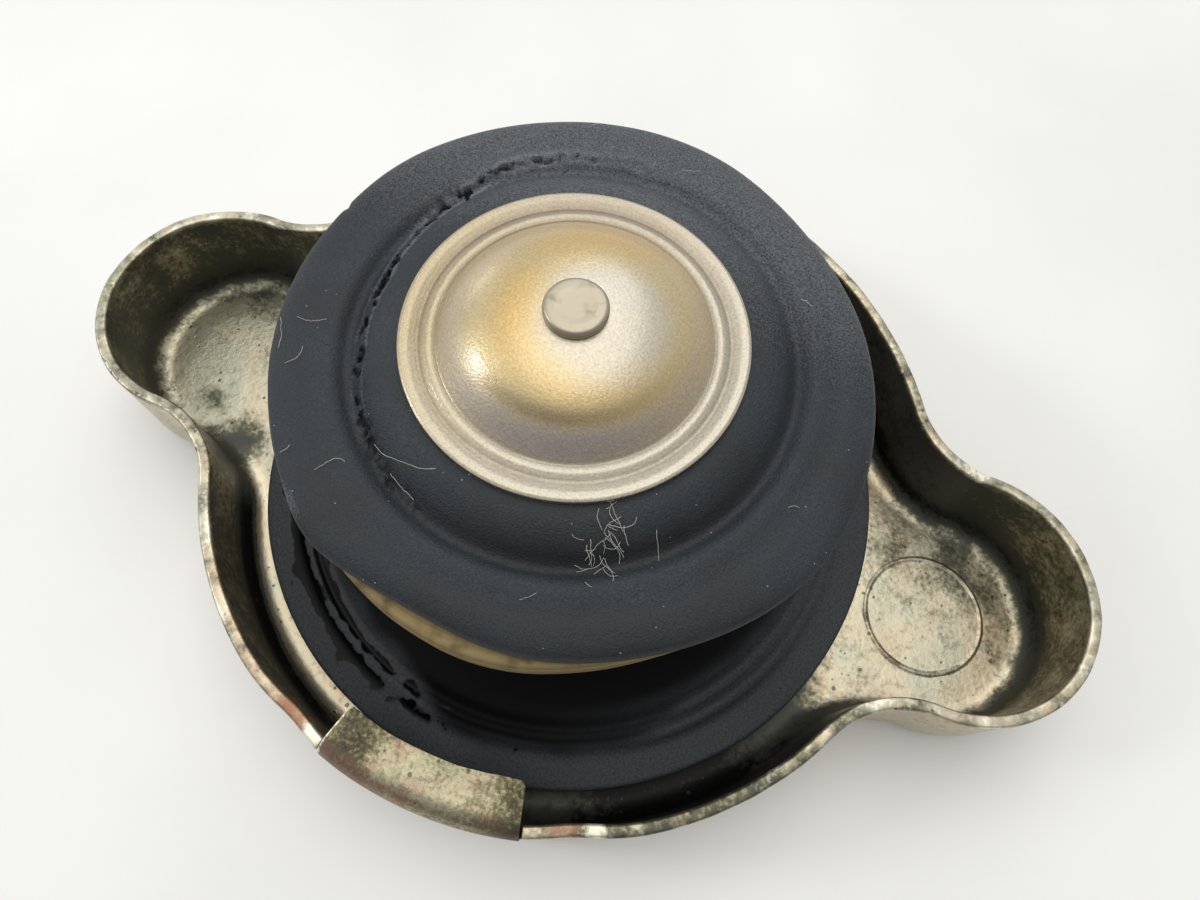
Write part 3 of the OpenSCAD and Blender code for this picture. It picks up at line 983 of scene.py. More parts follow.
        boss_z, boss_r = self.pocket_h + self.sheet, self.pocket_r + self.sheet
        boss = (
            (self.hole_r, boss_z),
            (boss_r - 0.5, boss_z),
            (boss_r, boss_z - 0.2),
            (boss_r + 0.1, self.sheet + 0.15),
        )
        pocket = (
            (self.pocket_r + 0.35, 0.0),
            (self.pocket_r + 0.1, 0.1),
            (self.pocket_r, 0.35),
            (self.pocket_r - 0.05, self.pocket_h - 0.15),
            (self.pocket_r - 0.25, self.pocket_h),
            (self.hole_r, self.pocket_h),
        )
        bend = [QUARTER_TURN * step / self.bend_steps for step in range(self.bend_steps + 1)]
        rise = (rim_z - self.rim_round - flat_r) / self.wall_rings
        wall = [flat_r + rise * step for step in range(1, self.wall_rings)]

        rings = [(Zone.BOSS, circle(*at)) for at in boss]
        for index in range(self.floor_rings):
            places = spread(index / self.floor_rings, boss_r + 0.4, self.sheet)
            places[:, 2] += 0.05 * grain(places, 6.0, 5) + 0.025 * grain(places, 1.8, 6)
            rings.append((Zone.FLOOR, places))
        for angle in bend:
            inset = flat_r - self.bend_r * math.sin(angle)
            rings.append((Zone.BEND, ring(inset, flat_r - self.bend_r * math.cos(angle))))
        rings += [(Zone.WALL, ring(self.sheet, heights)) for heights in wall]
        for middle, first in ((self.sheet - self.rim_round, 0), (self.rim_round, 90)):
            for angle in (math.radians(first + 30 * step) for step in range(4)):
                inset = middle + self.rim_round * math.cos(angle)
                rings.append((Zone.RIM, ring(inset, rim_z - self.rim_round * (1 - math.sin(angle)))))
        rings += [(Zone.OUTSIDE, ring(0.0, heights)) for heights in reversed(wall)]
        for angle in reversed(bend):
            inset = flat_r * (1 - math.sin(angle))
            rings.append((Zone.OUTSIDE, ring(inset, flat_r * (1 - math.cos(angle)))))
        for index in range(1, self.under_rings):
            rings.append((Zone.UNDER, spread(1 - index / self.under_rings, self.pocket_r + 0.35, 0.0)))
        return rings + [(Zone.UNDER, circle(*at)) for at in pocket]

    def soot_and_shade(self, grid: np.ndarray) -> np.ndarray:
        """Paints the dirt and painted shade inside the shell, with a painted highlight, before its stains.

        Args:
            grid: The rings' points.

        Returns:
            The amount of dirt and painted shade at each point.
        """
        x, y, z = np.moveaxis(grid, -1, 0)
        _, angles = polar(grid)
        flat = grid * FLAT
        in_ear = ease(np.abs(x), 25.0, 29.0)

        # It starts at a ragged line in the bend. The back walls and the right side by the
        # neck face away from the light and get painted shade on top
        bend_z = 1.02 + 0.2 * ease(-x, 0.0, 25.0) + 0.4 * grain(grid * [1, 1, 0.3], 1.7, 12)
        dirt_and_shade = 0.08 + 0.02 * ease(-x, 22.0, 28.0) - 0.08 * ease(z, 4.5, 8.5)
        dirt_and_shade += 0.54 * ease(z, bend_z, bend_z + 0.7)
        dirt_and_shade += 0.48 * ease(y, -6.0, 2.0) * bell_curve(z, 2.2, 1.2)
        right_neck = ease(x, 12.0, 20.0) * ease(-x, -36.0, -28.0) * ease(y, 5.0, 12.0)
        dirt_and_shade += 0.45 * right_neck * ease(z, 1.4, 2.4)

        # The left ear's floor is lighter, and the right ear's end wall is lightened as a painted
        # highlight where the light from the left falls on it
        dirt_and_shade -= ease(-x, 26.0, 30.0) * (0.05 + 0.2 * ease(-z, -1.3, -1.0))
        dirt_and_shade -= 0.16 * ease(x, 35.0, 40.0) * ease(z, 2.0, 4.0)

        # A ragged border runs round the floor of each ear, and a band of painted shade lies in the bend
        uneven = 0.7 * grain(flat, 2.4, 13) + 0.4 * grain(flat, 0.9, 14) - 0.6 * ease(-y, -5.0, 0.0)
        border = ease(np.hypot(np.abs(x) - self.ear_x, y) + uneven, 6.5, 7.8)
        dirt_and_shade = np.maximum(dirt_and_shade, 0.3 * in_ear * border)
        dirt_and_shade += 0.1 * in_ear * bell_curve(z, 1.25, 0.4) * (1 + 2.5 * grain(grid, 1.1, 16))

        # At the front, under the seals: on the left, a pale floor and a dark band from the bend up
        # are painted reflections of the sky and of the black rubber. On the right the wall is
        # painted shade all over
        round_part = ease(-np.abs(x), -28.0, -24.0)
        front_left = round_part * ease(-np.abs(turn_from(angles, -136)), -34.0, -22.0)
        reflected_bands = -0.3 + 1.75 * ease(z, 1.15, 1.6) - 0.95 * ease(z, 3.0, 5.0)
        dirt_and_shade += front_left * (reflected_bands - dirt_and_shade)
        front_right = round_part * toward(angles, *self.shaded_wall)
        dirt_and_shade += front_right * (1.5 - dirt_and_shade)
        for stain in self.stains:
            dirt_and_shade += stain.amount * bell_curve(np.hypot(x - stain.x, y - stain.y), 0, stain.radius)
        return dirt_and_shade

    def masks(self, zones: Sequence[Zone], grid: np.ndarray) -> dict[str, np.ndarray]:
        """Paints where the plating is tarnished, worn bright or coppery, and its painted shade and glints.

        Args:
            zones: The zone of each ring.
            grid: The rings' points.

        Returns:
            The painted values by name.
        """
        dirt = {Zone.BOSS: 0.4, Zone.RIM: 0.34, Zone.OUTSIDE: 0.1, Zone.UNDER: 0.1}
        x, _, z = np.moveaxis(grid, -1, 0)
        _, angles = polar(grid)
        inside = np.array([zone in (Zone.FLOOR, Zone.BEND, Zone.WALL) for zone in zones])[:, None]
        rim = np.array([zone is Zone.RIM for zone in zones])[:, None] + 0 * x
        plain = np.array([dirt.get(zone, 0.0) for zone in zones])[:, None]
        lower_right = toward(angles, *self.dark_rim)
        grime = np.where(inside, self.soot_and_shade(grid), plain)
        grime += rim * (0.2 * lower_right + 0.3 * grain(grid, 1.3, 15))

        beside_lug = marked(angles, self.coppery)
        # The rim is worn bright, with painted glints at the front lug
        edge = 0.4 + 0.45 * grain(grid, 3.0, 7) + 0.24 * grain(grid, 0.8, 17) - 0.2 * lower_right
        edge = rim * (edge + 0.7 * marked(angles, self.rim_glints) - 0.4 * beside_lug)
        high = ease(z, self.height - 2.5, self.height - 0.4)
        copper = 0.8 * beside_lug * high * ease(-np.abs(x), -18.0, -13.0)
        return {"grime": grime, "edge": edge, "copper": copper, "cool": inside * ease(-x, 26.0, 33.0)}

    def build_sheet(self) -> None:
        """Builds the shell's sheet as one closed sweep."""
        rings = self.sections()
        zones = [zone for zone, _ in rings]
        grid = np.stack([places for _, places in rings])
        grid[..., 2] = np.maximum(grid[..., 2], 0.0)
        piece = loft("shell_sheet", grid, self.masks(zones, grid), crease_deg=60.0)
        seat(piece, Body.SHELL, self.plating, ["shell"])

    def build_ring(self) -> None:
        """Builds the plain ring that stands up in one ear's floor."""
        shares = np.linspace(-1, 1, 11)
        rise = self.ring_h * np.cos(QUARTER_TURN * shares) ** 2
        top = np.stack([self.ring_r + self.ring_w * shares, self.sheet + rise], -1)
        base = [(self.ring_r + side * self.ring_w, self.sheet - self.ring_root) for side in (1, -1)]

        def move(grid: np.ndarray) -> np.ndarray:
            """Moves the ring into its ear."""
            return grid + np.array([self.ear_x, 0.0, 0.0])

        def paint(grid: np.ndarray) -> dict[str, np.ndarray]:
            """Paints the ring as lightly tarnished."""
            plain = np.zeros(grid.shape[:2])
            return {"grime": plain + 0.36, "edge": plain, "copper": plain, "cool": plain}

        piece = turned("ear_ring_ridge", np.concatenate([top, base]), self.ring_segments, move, paint)
        seat(piece, Body.SHELL, self.plating)

    def lug_faces(self, middle_deg: float) -> np.ndarray:
        """Lays out both faces of a lug, the top of the skirt folded inwards.

        Args:
            middle_deg: Direction of the lug's middle from the axis.

        Returns:
            Points of the outer and the inner face: face, rows from foot to tip, columns, coordinates.
        """
        fold_z = self.lug_top - self.lug_fold_r
        fold_at = self.radius - self.lug_fold_r
        tip_r = self.radius - self.lug_reach
        share = 0.5 - 0.5 * np.cos(np.linspace(0, math.pi, self.lug_columns))
        turns = np.radians(self.lug_half_deg) * (2 * share - 1)
        angles = np.radians(middle_deg) + turns
        to_end = (np.radians(self.lug_half_deg) - np.abs(turns)) * tip_r
        corner = np.clip(1 - to_end / self.lug_corner, 0, 1)
        probe = places_at(tip_r, angles, 0.0)
        tips = tip_r + self.lug_corner * (1 - np.sqrt(1 - corner**2))
        tips += 0.08 * (1 + grain(probe, 3.5, 8)) + 0.05 * (1 + grain(probe, 1.0, 9))

        def path(fold_r: float, wall_r: float, top_z: float) -> np.ndarray:
            """Gives one face of the folded sheet at every angle.

            Args:
                fold_r: Radius of the fold.
                wall_r: Distance of the wall from the axis.
                top_z: Height of the flat.

            Returns:
                The points of wall, fold and flat.
            """
            rows = [(wall_r, height) for height in np.linspace(self.lug_foot, fold_z, 5)]
            for angle in (QUARTER_TURN * step / self.bend_steps for step in range(1, self.bend_steps + 1)):
                rows.append((fold_at + fold_r * math.cos(angle), fold_z + fold_r * math.sin(angle)))
            rows += [(fold_at + (tips - fold_at) * part / 10, top_z) for part in range(1, 11)]
            return np.stack([places_at(radii, angles, height) for radii, height in rows])

        outer = path(self.lug_fold_r + self.lug_proud, self.radius + self.lug_proud, self.lug_top)
        inner_fold, inner_wall = self.lug_fold_r - self.sheet, self.radius - self.sheet
        inner = path(inner_fold - self.lug_proud, inner_wall - self.lug_proud, self.lug_top - self.sheet)
        faces = np.stack([outer, inner])
        flat_share = ease(faces[..., 2], fold_z - 0.5, self.lug_top - self.sheet)
        push = self.inward_dent(places_at(self.radius, angles, faces[..., 2])) * (1 - flat_share)
        faces[..., :2] -= push[..., None] * places_at(1.0, angles, 0.0)[:, :2]
        plan = faces * FLAT
        dip = 0.09 * (1 + grain(plan, 4.5, 10)) + 0.04 * (1 + grain(plan, 1.4, 11))
        faces[..., 2] -= dip * flat_share
        return faces

    def lug_masks(self, points: np.ndarray, middle_deg: float) -> dict[str, np.ndarray]:
        """Paints a lug's stains, a painted highlight on its fold, a bright end and coppery outer edge.

        Args:
            points: The lug's points.
            middle_deg: Direction of the lug's middle from the axis.

        Returns:
            The painted values by name.
        """
        radii, angles = polar(points)
        across = turn_from(angles, middle_deg) / self.lug_half_deg
        grime = 0.18 + 0.45 * bell_curve(across, -0.8, 0.35) + 0.42 * bell_curve(across, 0.95, 0.35)
        grime += 0.12 * ease(radii, self.radius - 1.6, self.radius - 0.4)
        # A painted highlight runs along the middle of the fold
        edge = 0.3 * bell_curve(across, -0.1, 0.4) * bell_curve(radii, self.radius - 1.7, 1.1)
        edge += 0.7 * bell_curve(across, -1.0, 0.03)
        copper = ease(radii, self.radius - 1.9, self.radius - 0.7) * (0.2 + 0.45 * ease(-across, -0.5, 0.4))
        copper += 0.3 * bell_curve(across, 0.7, 0.3)
        return {"grime": grime, "edge": edge, "copper": copper, "cool": 0 * radii}

    def build_lug(self, name: str, middle_deg: float) -> None:
        """Builds a locking lug as a closed sheet with worn edges.

        Args:
            name: The piece's name.
            middle_deg: Direction of the lug's middle from the axis.
        """
        faces = self.lug_faces(middle_deg)
        points = faces.reshape(-1, 3)
        numbers = np.arange(len(points)).reshape(faces.shape[:3])
        ends = (numbers[:, 0], numbers[:, -1], numbers[:, :, 0], numbers[:, :, -1])
        corners = np.concatenate([quads(side) for side in (*numbers, *ends)])
        piece = solid(name, points, corners.tolist(), self.lug_masks(points, middle_deg), crease_deg=55.0)
        soften = piece.modifiers.new("worn edges", "BEVEL")
        soften.width, soften.segments, soften.limit_method = self.lug_edge * MM, 2, "ANGLE"
        soften.angle_limit = math.radians(50)
        soften.use_clamp_overlap = True
        seat(piece, Body.SHELL, self.lug_plating)

    def build(self) -> None:
        """Builds the sheet, the ring in one ear and both lugs."""
        self.build_sheet()
        self.build_ring()
        self.build_lug("front_lug", -90.0)
        self.build_lug("back_lug", 90.0)


@dataclass
class UpperSeal:
    """The wide rubber disc that closes the filler neck's mouth."""

    rubber: bpy.types.Material
    hole_r: float = 2.8
    hub_r: float = 8.9
    hub_z: float = 2.1
    dish_r: float = 24.5
    under_z: float = 2.5
    radius: float = 26.2
    face_z: float = 4.0
    rib_r: float = 22.9
    rib_pitch: float = 1.2
    rib_h: float = 0.35
    rib_w: float = 0.45
    segments: int = 512

    # Direction and width of the streaked stretch, and of the one with painted shade in the troughs
    streaked: tuple[float, float] = (-150.0, 45.0)
    trough_shade_side: tuple[float, float] = (-42.0, 24.0)

    def profile(self) -> np.ndarray:
        """Lays out the disc's section with its two ribs.

        Returns:
            The section's points, as radius and height.
        """
        corners = [
            (self.hole_r, self.face_z, 0.0),
            (self.hole_r, self.hub_z, 0.0),
            (self.hub_r, self.hub_z, 0.0),
            (self.dish_r, self.under_z, 0.0),
            (self.radius, self.under_z, 0.3),
            (self.radius, self.face_z, 0.35),
        ]
        section = dense(soft_corners(corners), 0.3)
        radii, heights = section.T
        ribs = sum(bell_curve(radii, self.rib_r - row * self.rib_pitch, self.rib_w) for row in (0, 1))
        section[:, 1] = heights + self.rib_h * ribs * (heights > self.face_z - 0.2)
        return section

    def warp(self, grid: np.ndarray) -> np.ndarray:
        """Makes the edge slightly uneven.

        Args:
            grid: The turned points.

        Returns:
            The moved points.
        """
        radii, _ = polar(grid)
        outer = ease(radii, 23.0, self.radius)
        moved = grid.copy()
        moved[..., 2] += outer * (0.06 * grain(grid * FLAT, 8.0, 20) - 0.02)
        moved[..., :2] *= (1 - 0.004 * outer * (1 + grain(grid * FLAT, 9.0, 21)))[..., None]
        return moved

    def paint(self, grid: np.ndarray) -> dict[str, np.ndarray]:
        """Paints the film of oil round the ribs, and the painted shadow inside them and at the front.

        Args:
            grid: The piece's points.

        Returns:
            The painted values by name.
        """
        radii, angles = polar(grid)
        flat = grid * FLAT
        left, right = toward(angles, *self.streaked), toward(angles, *self.trough_shade_side)
        troughs = bell_curve(radii, self.rib_r + 0.8, 0.5) + bell_curve(radii, self.rib_r - 0.6, 0.45)
        drips = ease(grain(flat, 1.3, 22), 0.1, 0.5) * bell_curve(radii, self.rib_r + 1.4, 0.7)
        # The painted shadow reaches further out at the front, under the valve above, and painted shade lies
        # in the troughs between the ribs at the front right
        front = ease(-np.abs(turn_from(angles, -74)), -36.0, -14.0)
        shadow_r = self.rib_r - 1.6 + 2.4 * front + 0.5 * grain(flat, 3.0, 23)
        lows = (self.rib_r + (0.55 - row) * self.rib_pitch for row in range(3))
        low = sum(bell_curve(radii, middle, 0.27) for middle in lows)
        shadow_core = ease(shadow_r - radii, -0.7, 1.1) * (1 - 0.3 * right * ease(radii, 19.6, 20.8))
        pool = np.maximum(shadow_core, 0.75 * low * right)
        return {"film": 0.16 + left * (0.8 * troughs + 0.4 * drips), "pool": pool}

    def build(self) -> None:
        """Builds the disc."""
        piece = turned("upper_seal", self.profile(), self.segments, self.warp, self.paint)
        seat(piece, Body.INSERT, self.rubber, ["upper_gasket"])


@dataclass
class PressureSeal:
    """The pressure valve's rubber, worn by the seat that it closes."""

    rubber: bpy.types.Material
    radius: float = 19.5
    hole_r: float = 8.5
    plate_z: float = 23.0
    platform_z: float = 24.8
    platform_r: float = 12.7
    slope_r: float = 13.9
    flange_r: float = 9.4
    flange_z: float = 25.9
    clear: float = 0.03
    pit_depth: float = 0.55
    crack_deg: float = 168.0
    lifted_deg: float = -127.0
    ridge_r: float = 15.7
    groove_r: float = 14.0
    segments: int = 880

    # Direction and width of the painted highlight on the ridge, the painted shade in the groove, and
    # the raised edge at the back
    ridge_highlight_side: tuple[float, float] = (-66.0, 42.0)
    groove_shade_side: tuple[float, float] = (-64.0, 58.0)
    raised_side: tuple[float, float] = (150.0, 22.0)

    # Height of the upper face over the radius: raised middle, pressed groove and drooping edge
    face: Knots = (
        (9.4, 26.3),
        (11.0, 26.3),
        (11.9, 26.18),
        (12.8, 25.8),
        (13.5, 25.3),
        (14.0, 24.84),
        (14.35, 24.62),
        (14.7, 24.66),
        (15.05, 24.94),
        (15.4, 25.12),
        (15.9, 25.14),
        (16.6, 25.03),
        (17.2, 24.97),
        (17.7, 24.99),
        (18.4, 24.9),
        (19.0, 24.72),
        (19.5, 24.42),
    )

    # Middle direction, width and amount of each uneven stretch of the outer edge
    edge_waves: Marks = (
        (-22.0, 25.0, 0.75),
        (52.0, 24.0, -0.65),
        (-96.0, 13.0, -0.5),
        (-120.0, 8.5, 0.5),
        (-136.0, 9.0, 0.1),
        (150.0, 13.0, 0.1),
        (166.5, 1.0, -0.16),
    )

    # Turn from the crack's middle, starting at the back, with its radius and depth share there
    crack_path: Marks = (
        (-92.0, 15.6, 0.0),
        (-75.0, 15.6, 0.2),
        (-41.0, 15.5, 0.6),
        (-14.0, 14.15, 1.0),
        (11.0, 13.4, 1.0),
        (35.0, 13.6, 0.8),
        (55.0, 14.1, 0.7),
        (75.0, 14.2, 0.45),
        (92.0, 14.25, 0.0),
    )

    def profile(self) -> np.ndarray:
        """Lays out the rubber's section, with short steps where the crack runs.

        Returns:
            The section's points, as radius and height.
        """
        cracked = np.arange(13.0, 16.6, 0.13)
        middle, outer = np.linspace(self.flange_r, 12.9, 12), np.linspace(16.7, 19.35, 13)
        radii = np.concatenate([middle, cracked, outer])
        heights = smooth_curve(self.face, radii)
        edge_z, platform_z = float(heights[-1]), self.platform_z + self.clear
        low_z = self.plate_z + 0.04
        rest = [
            (self.radius, edge_z - 0.2),
            (self.radius + 0.02, edge_z - 0.5),
            (self.radius, self.plate_z + 0.45),
            (self.radius - 0.05, self.plate_z + 0.12),
            (self.radius - 0.14, low_z),
            (self.slope_r, low_z),
            (self.platform_r, platform_z),
            (self.hole_r, platform_z),
            (self.hole_r, self.flange_z),
            (self.flange_r, self.flange_z),
        ]
        return np.concatenate([np.stack([radii, heights], -1), np.array(rest)])

    def crack(self, grid: np.ndarray) -> tuple[np.ndarray, np.ndarray]:
        """Finds the crack, which runs from the back round the left to the front.

        Args:
            grid: Places on the rubber.

        Returns:
            How far outside the crack's middle line each place lies, and how badly it shows there.
        """
        radii, angles = polar(grid)
        turns, middles, shares = np.array(self.crack_path).T
        here = turn_from(angles, self.crack_deg)
        wander = 0.16 * grain(grid * FLAT, 2.4, 30)
        return radii - np.interp(here, turns, middles) - wander, np.interp(here, turns, shares)

    def pits(self, grid: np.ndarray) -> np.ndarray:
        """Digs the crack's pits.

        Args:
            grid: Places on the rubber.

        Returns:
            The depth share at each place.
        """
        off, share = self.crack(grid)
        flat = grid * FLAT
        wide = bell_curve(off + 0.35 * grain(flat, 0.9, 37), 0, 0.36)
        holes = ease(grain(flat, 0.52, 31) + 0.5 * grain(flat, 0.3, 32), -0.02, 0.26)
        return share * wide * holes

    def warp(self, grid: np.ndarray) -> np.ndarray:
        """Wears the rubber: cracked ring, uneven edge and a lifted corner.

        Args:
            grid: The turned points.

        Returns:
            The moved points.
        """
        radii, angles = polar(grid)
        off, share = self.crack(grid)
        flat = grid * FLAT
        moved = grid.copy()
        top = ease(grid[..., 2], self.plate_z + 0.9, self.plate_z + 1.3)
        rim = ease(radii, 17.2, self.radius)
        reach = marked(angles, self.edge_waves) + 0.06 * grain(flat, 6.0, 33)
        moved[..., :2] *= (1 + rim * reach / np.maximum(radii, 1))[..., None]
        lifted = 0.38 * toward(angles, self.lifted_deg, 7.0) * ease(radii, 17.8, 19.6)
        back_lift = 0.22 * toward(angles, *self.raised_side) * rim
        waves = 0.05 * grain(flat, 9.0, 34) + 0.018 * grain(flat, 2.2, 35)
        ridge = share * bell_curve(off, 0, 0.55) * (0.05 + 0.07 * grain(flat, 0.6, 36))
        moved[..., 2] += lifted + back_lift + top * (waves + ridge - self.pit_depth * self.pits(grid))
        return moved

    def paint(self, grid: np.ndarray) -> dict[str, np.ndarray]:
        """Paints the crack's pale ripped edges and pits, dust, and painted sheen, highlights and shade.

        Args:
            grid: The piece's points.

        Returns:
            The painted values by name.
        """
        radii, angles = polar(grid)
        off, share = self.crack(grid)
        y = grid[..., 1]
        near = (0.75 * bell_curve(off, -0.42, 0.16) + 0.5 * bell_curve(off, 0.4, 0.22)) * share
        # A painted highlight runs along the lifted lip
        lip_highlight = toward(angles, self.lifted_deg, 6.0) * ease(radii, 19.1, 19.5)
        # Dust with painted sheen makes the back paler, and the front is darker
        dusty = 0.62 * ease(y, -4.0, 14.0) - 0.24 * ease(-y, 8.0, 15.0)
        # A painted highlight lies on the ridge at the front, with painted shade in the groove and on the
        # outer ring there
        ridge = 0.42 * bell_curve(radii, self.ridge_r, 0.8) * toward(angles, *self.ridge_highlight_side)
        painted_shade = 0.7 * bell_curve(radii, self.groove_r, 0.75) * toward(angles, *self.groove_shade_side)
        painted_shade += 0.3 * ease(-y, 6.0, 15.0) * ease(radii, 16.2, 17.4)
        top = grid[..., 2] > self.plate_z + 1.0
        pit = top * np.maximum(ease(self.pits(grid), 0.2, 0.6), painted_shade)
        return {"scuff": near + 0.9 * lip_highlight + 0.12 + dusty + ridge, "pit": pit}

    def build(self) -> None:
        """Builds the rubber."""
        piece = turned("pressure_seal", self.profile(), self.segments, self.warp, self.paint)
        seat(piece, Body.PRESSURE, self.rubber, ["pressure_gasket"])


@dataclass
class PlateEdge:
    """The valve plate's turned-down edge, bent outwards at the front."""

    brass: bpy.types.Material
    flush_r: float = 19.4
    inner_r: float = 18.85
    low_z: float = 21.42
    high_z: float = 22.99
    bend_deg: float = -86.0
    bend_width: float = 24.0
    bend: float = 0.72
    segments: int = 360

    def warp(self, grid: np.ndarray) -> np.ndarray:
        """Pulls the outer side out at the front.

        Args:
            grid: The turned points.

        Returns:
            The moved points.
        """
        radii, angles = polar(grid)
        pull = self.bend * toward(angles, self.bend_deg, self.bend_width)
        pull *= 1 + 0.12 * grain(grid * FLAT, 4.0, 50)
        moved = grid.copy()
        moved[..., :2] *= (1 + ease(radii, self.inner_r, self.flush_r) * pull / radii)[..., None]
        return moved

    def build(self) -> None:
        """Builds the edge as a ring that comes out of the plate where it is bent."""
        corners = [
            (self.inner_r, self.low_z, 0.0),
            (self.flush_r, self.low_z, 0.15),
            (self.flush_r, self.high_z, 0.28),
            (self.inner_r, self.high_z, 0.0),
        ]
        piece = turned("plate_edge", dense(soft_corners(corners), 0.25), self.segments, self.warp)
        seat(piece, Body.PRESSURE, self.brass)


@dataclass
class VacuumHat:
    """The vacuum valve's plate with its dome, and the stem's riveted head."""

    steel: bpy.types.Material
    stem: bpy.types.Material
    radius: float = 11.0
    seat_z: float = 26.3
    sheet: float = 0.45
    foot_r: float = 8.75
    groove_r: float = 9.75
    dome_z: float = 29.6
    hole_r: float = 1.55
    stem_r: float = 1.5
    head_r: float = 2.0
    head_h: float = 0.6
    stem_low_z: float = 15.1
    upset_r: float = 2.0
    upset_h: float = 1.0
    tint_at: tuple[float, float] = (1.8, 0.2)
    segments: int = 256
    stem_segments: int = 96

    # Height of the upper face over the radius: dome, crisp foot, groove and turned-up edge
    face: Knots = (
        (1.55, 29.58),
        (3.0, 29.46),
        (4.5, 29.2),
        (5.6, 28.84),
        (6.5, 28.42),
        (7.3, 27.9),
        (7.95, 27.36),
        (8.45, 26.92),
        (8.73, 26.7),
        (8.95, 26.77),
        (9.2, 26.8),
        (9.5, 26.7),
        (9.75, 26.62),
        (10.05, 26.7),
        (10.4, 26.83),
        (10.85, 26.87),
    )

    def build_plate(self) -> None:
        """Builds the plate and dome."""
        radii = np.concatenate([np.linspace(self.hole_r, 8.4, 46), np.linspace(8.45, 10.85, 40)])
        heights = smooth_curve(self.face, radii)
        edge = [
            (self.radius, heights[-1] - 0.12),
            (self.radius, self.seat_z + 0.1),
            (self.radius - 0.1, self.seat_z),
            (self.foot_r - 0.2, self.seat_z),
        ]
        inner = radii[radii < 8.2][::-1]
        under = np.maximum(smooth_curve(self.face, inner + 0.25) - 1.2 * self.sheet, self.seat_z)
        profile = np.concatenate([np.stack([radii, heights], -1), edge, np.stack([inner, under], -1)])
        piece = turned("vacuum_hat", profile, self.segments, None, self.paint)
        seat(piece, Body.VACUUM, self.steel, ["vacuum_plate"])

    def paint(self, grid: np.ndarray) -> dict[str, np.ndarray]:
        """Paints the heat tint round the dome, with painted reflections and shade.

        Args:
            grid: The piece's points.

        Returns:
            The painted values by name.
        """
        radii, angles = polar(grid)
        dome = ease(-radii, -(self.foot_r + 0.1), -(self.foot_r - 0.5))
        flange = 1 - dome
        back, right, front, left = (toward(angles, at, 55.0) for at in (100, 5, -80, 190))
        tinted = np.hypot(grid[..., 0] - self.tint_at[0], grid[..., 1] - self.tint_at[1])
        straw = dome * (0.15 + 0.75 * ease(tinted, 2.8, 5.2)) + flange * (0.12 + 0.55 * left + 0.25 * back)
        ring = bell_curve(tinted, 5.7, 1.6) * (0.3 * front + 0.45 * right + 0.85 * left)
        gold = dome * np.maximum(ring, back * bell_curve(tinted, 6.8, 1.9)) + 0.12 * flange * left
        # On the front flank an umber ring is a painted reflection; the thin umber line at the foot and in
        # the flange's groove is painted shade, and the flange is darker on the left and at the back
        umber = 0.7 * front * bell_curve(radii, 6.55, 0.6) + 0.75 * bell_curve(radii, self.foot_r, 0.07)
        umber += flange * (0.3 * left + 0.4 * back + 0.5 * bell_curve(radii, self.groove_r, 0.28))
        # The smoky grey on the lower flank, strongest at the front, is a painted reflection
        smoke = dome * ease(radii, 6.7, 7.5) * (0.9 * front + 0.2 * left + 0.3 * right)
        smoke += 0.15 * flange * back
        return {"straw": straw, "gold": gold, "umber": umber, "smoke": smoke, "matt": flange}

    def build_stem(self) -> None:
        """Builds the stem with its rounded head and the upset end below."""
        top, head_z = self.dome_z + self.head_h, self.dome_z - 0.02
        upset_z = self.stem_low_z + self.upset_h
        corners = [
            (0.0, top - 0.04, 0.0),
            (0.9, top - 0.03, 0.4),
            (1.3, top, 0.3),
            (self.head_r, top - 0.02, 0.28),
            (self.head_r, head_z, 0.08),
            (self.stem_r, head_z, 0.0),
            (self.stem_r, upset_z, 0.0),
            (self.upset_r, upset_z, 0.15),
            (self.upset_r, self.stem_low_z, 0.2),
            (0.0, self.stem_low_z, 0.0),
        ]
        profile = dense(soft_corners(corners), 0.35, closed=False)
        piece = turned("stem_rivet", profile, self.stem_segments, closed=False)
        seat(piece, Body.VACUUM, self.stem, ["vacuum_stem"])

    def build(self) -> None:
        """Builds the plate and the stem."""
        self.build_plate()
        self.build_stem()


@dataclass
class Coil:
    """A round-wire compression spring with one closed turn at each end."""

    name: str
    wire: bpy.types.Material
    node: str
    slot: str
    body: Body
    joint: str
    coil_r: float
    wire_d: float
    turns: float
    fixed_z: float
    travel: float
    sides: int = 16
    steps: int = 48

    def build(self) -> None:
        """Sweeps the wire between the ends of its solid."""
        low, high = (corner.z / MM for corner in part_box(self.node))
        length = high - low
        turn = np.linspace(0, self.turns, round(self.turns * self.steps) + 1)[:, None]
        around = np.linspace(0, FULL_TURN, self.sides, endpoint=False)[None, :]
        open_rise = length - 3 * self.wire_d
        knots = [0, 1, self.turns - 1, self.turns]
        rises = [0, self.wire_d, self.wire_d + open_rise, length - self.wire_d]
        heights = low + self.wire_d / 2 * (1 + np.sin(around)) + np.interp(turn, knots, rises)
        grid = places_at(self.coil_r + self.wire_d / 2 * np.cos(around), FULL_TURN * turn, heights)
        piece = solid(self.name, grid.reshape(-1, 3), tube_faces(*grid.shape[:2]))
        seat(piece, self.body, self.wire, [self.node])
        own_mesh(piece)


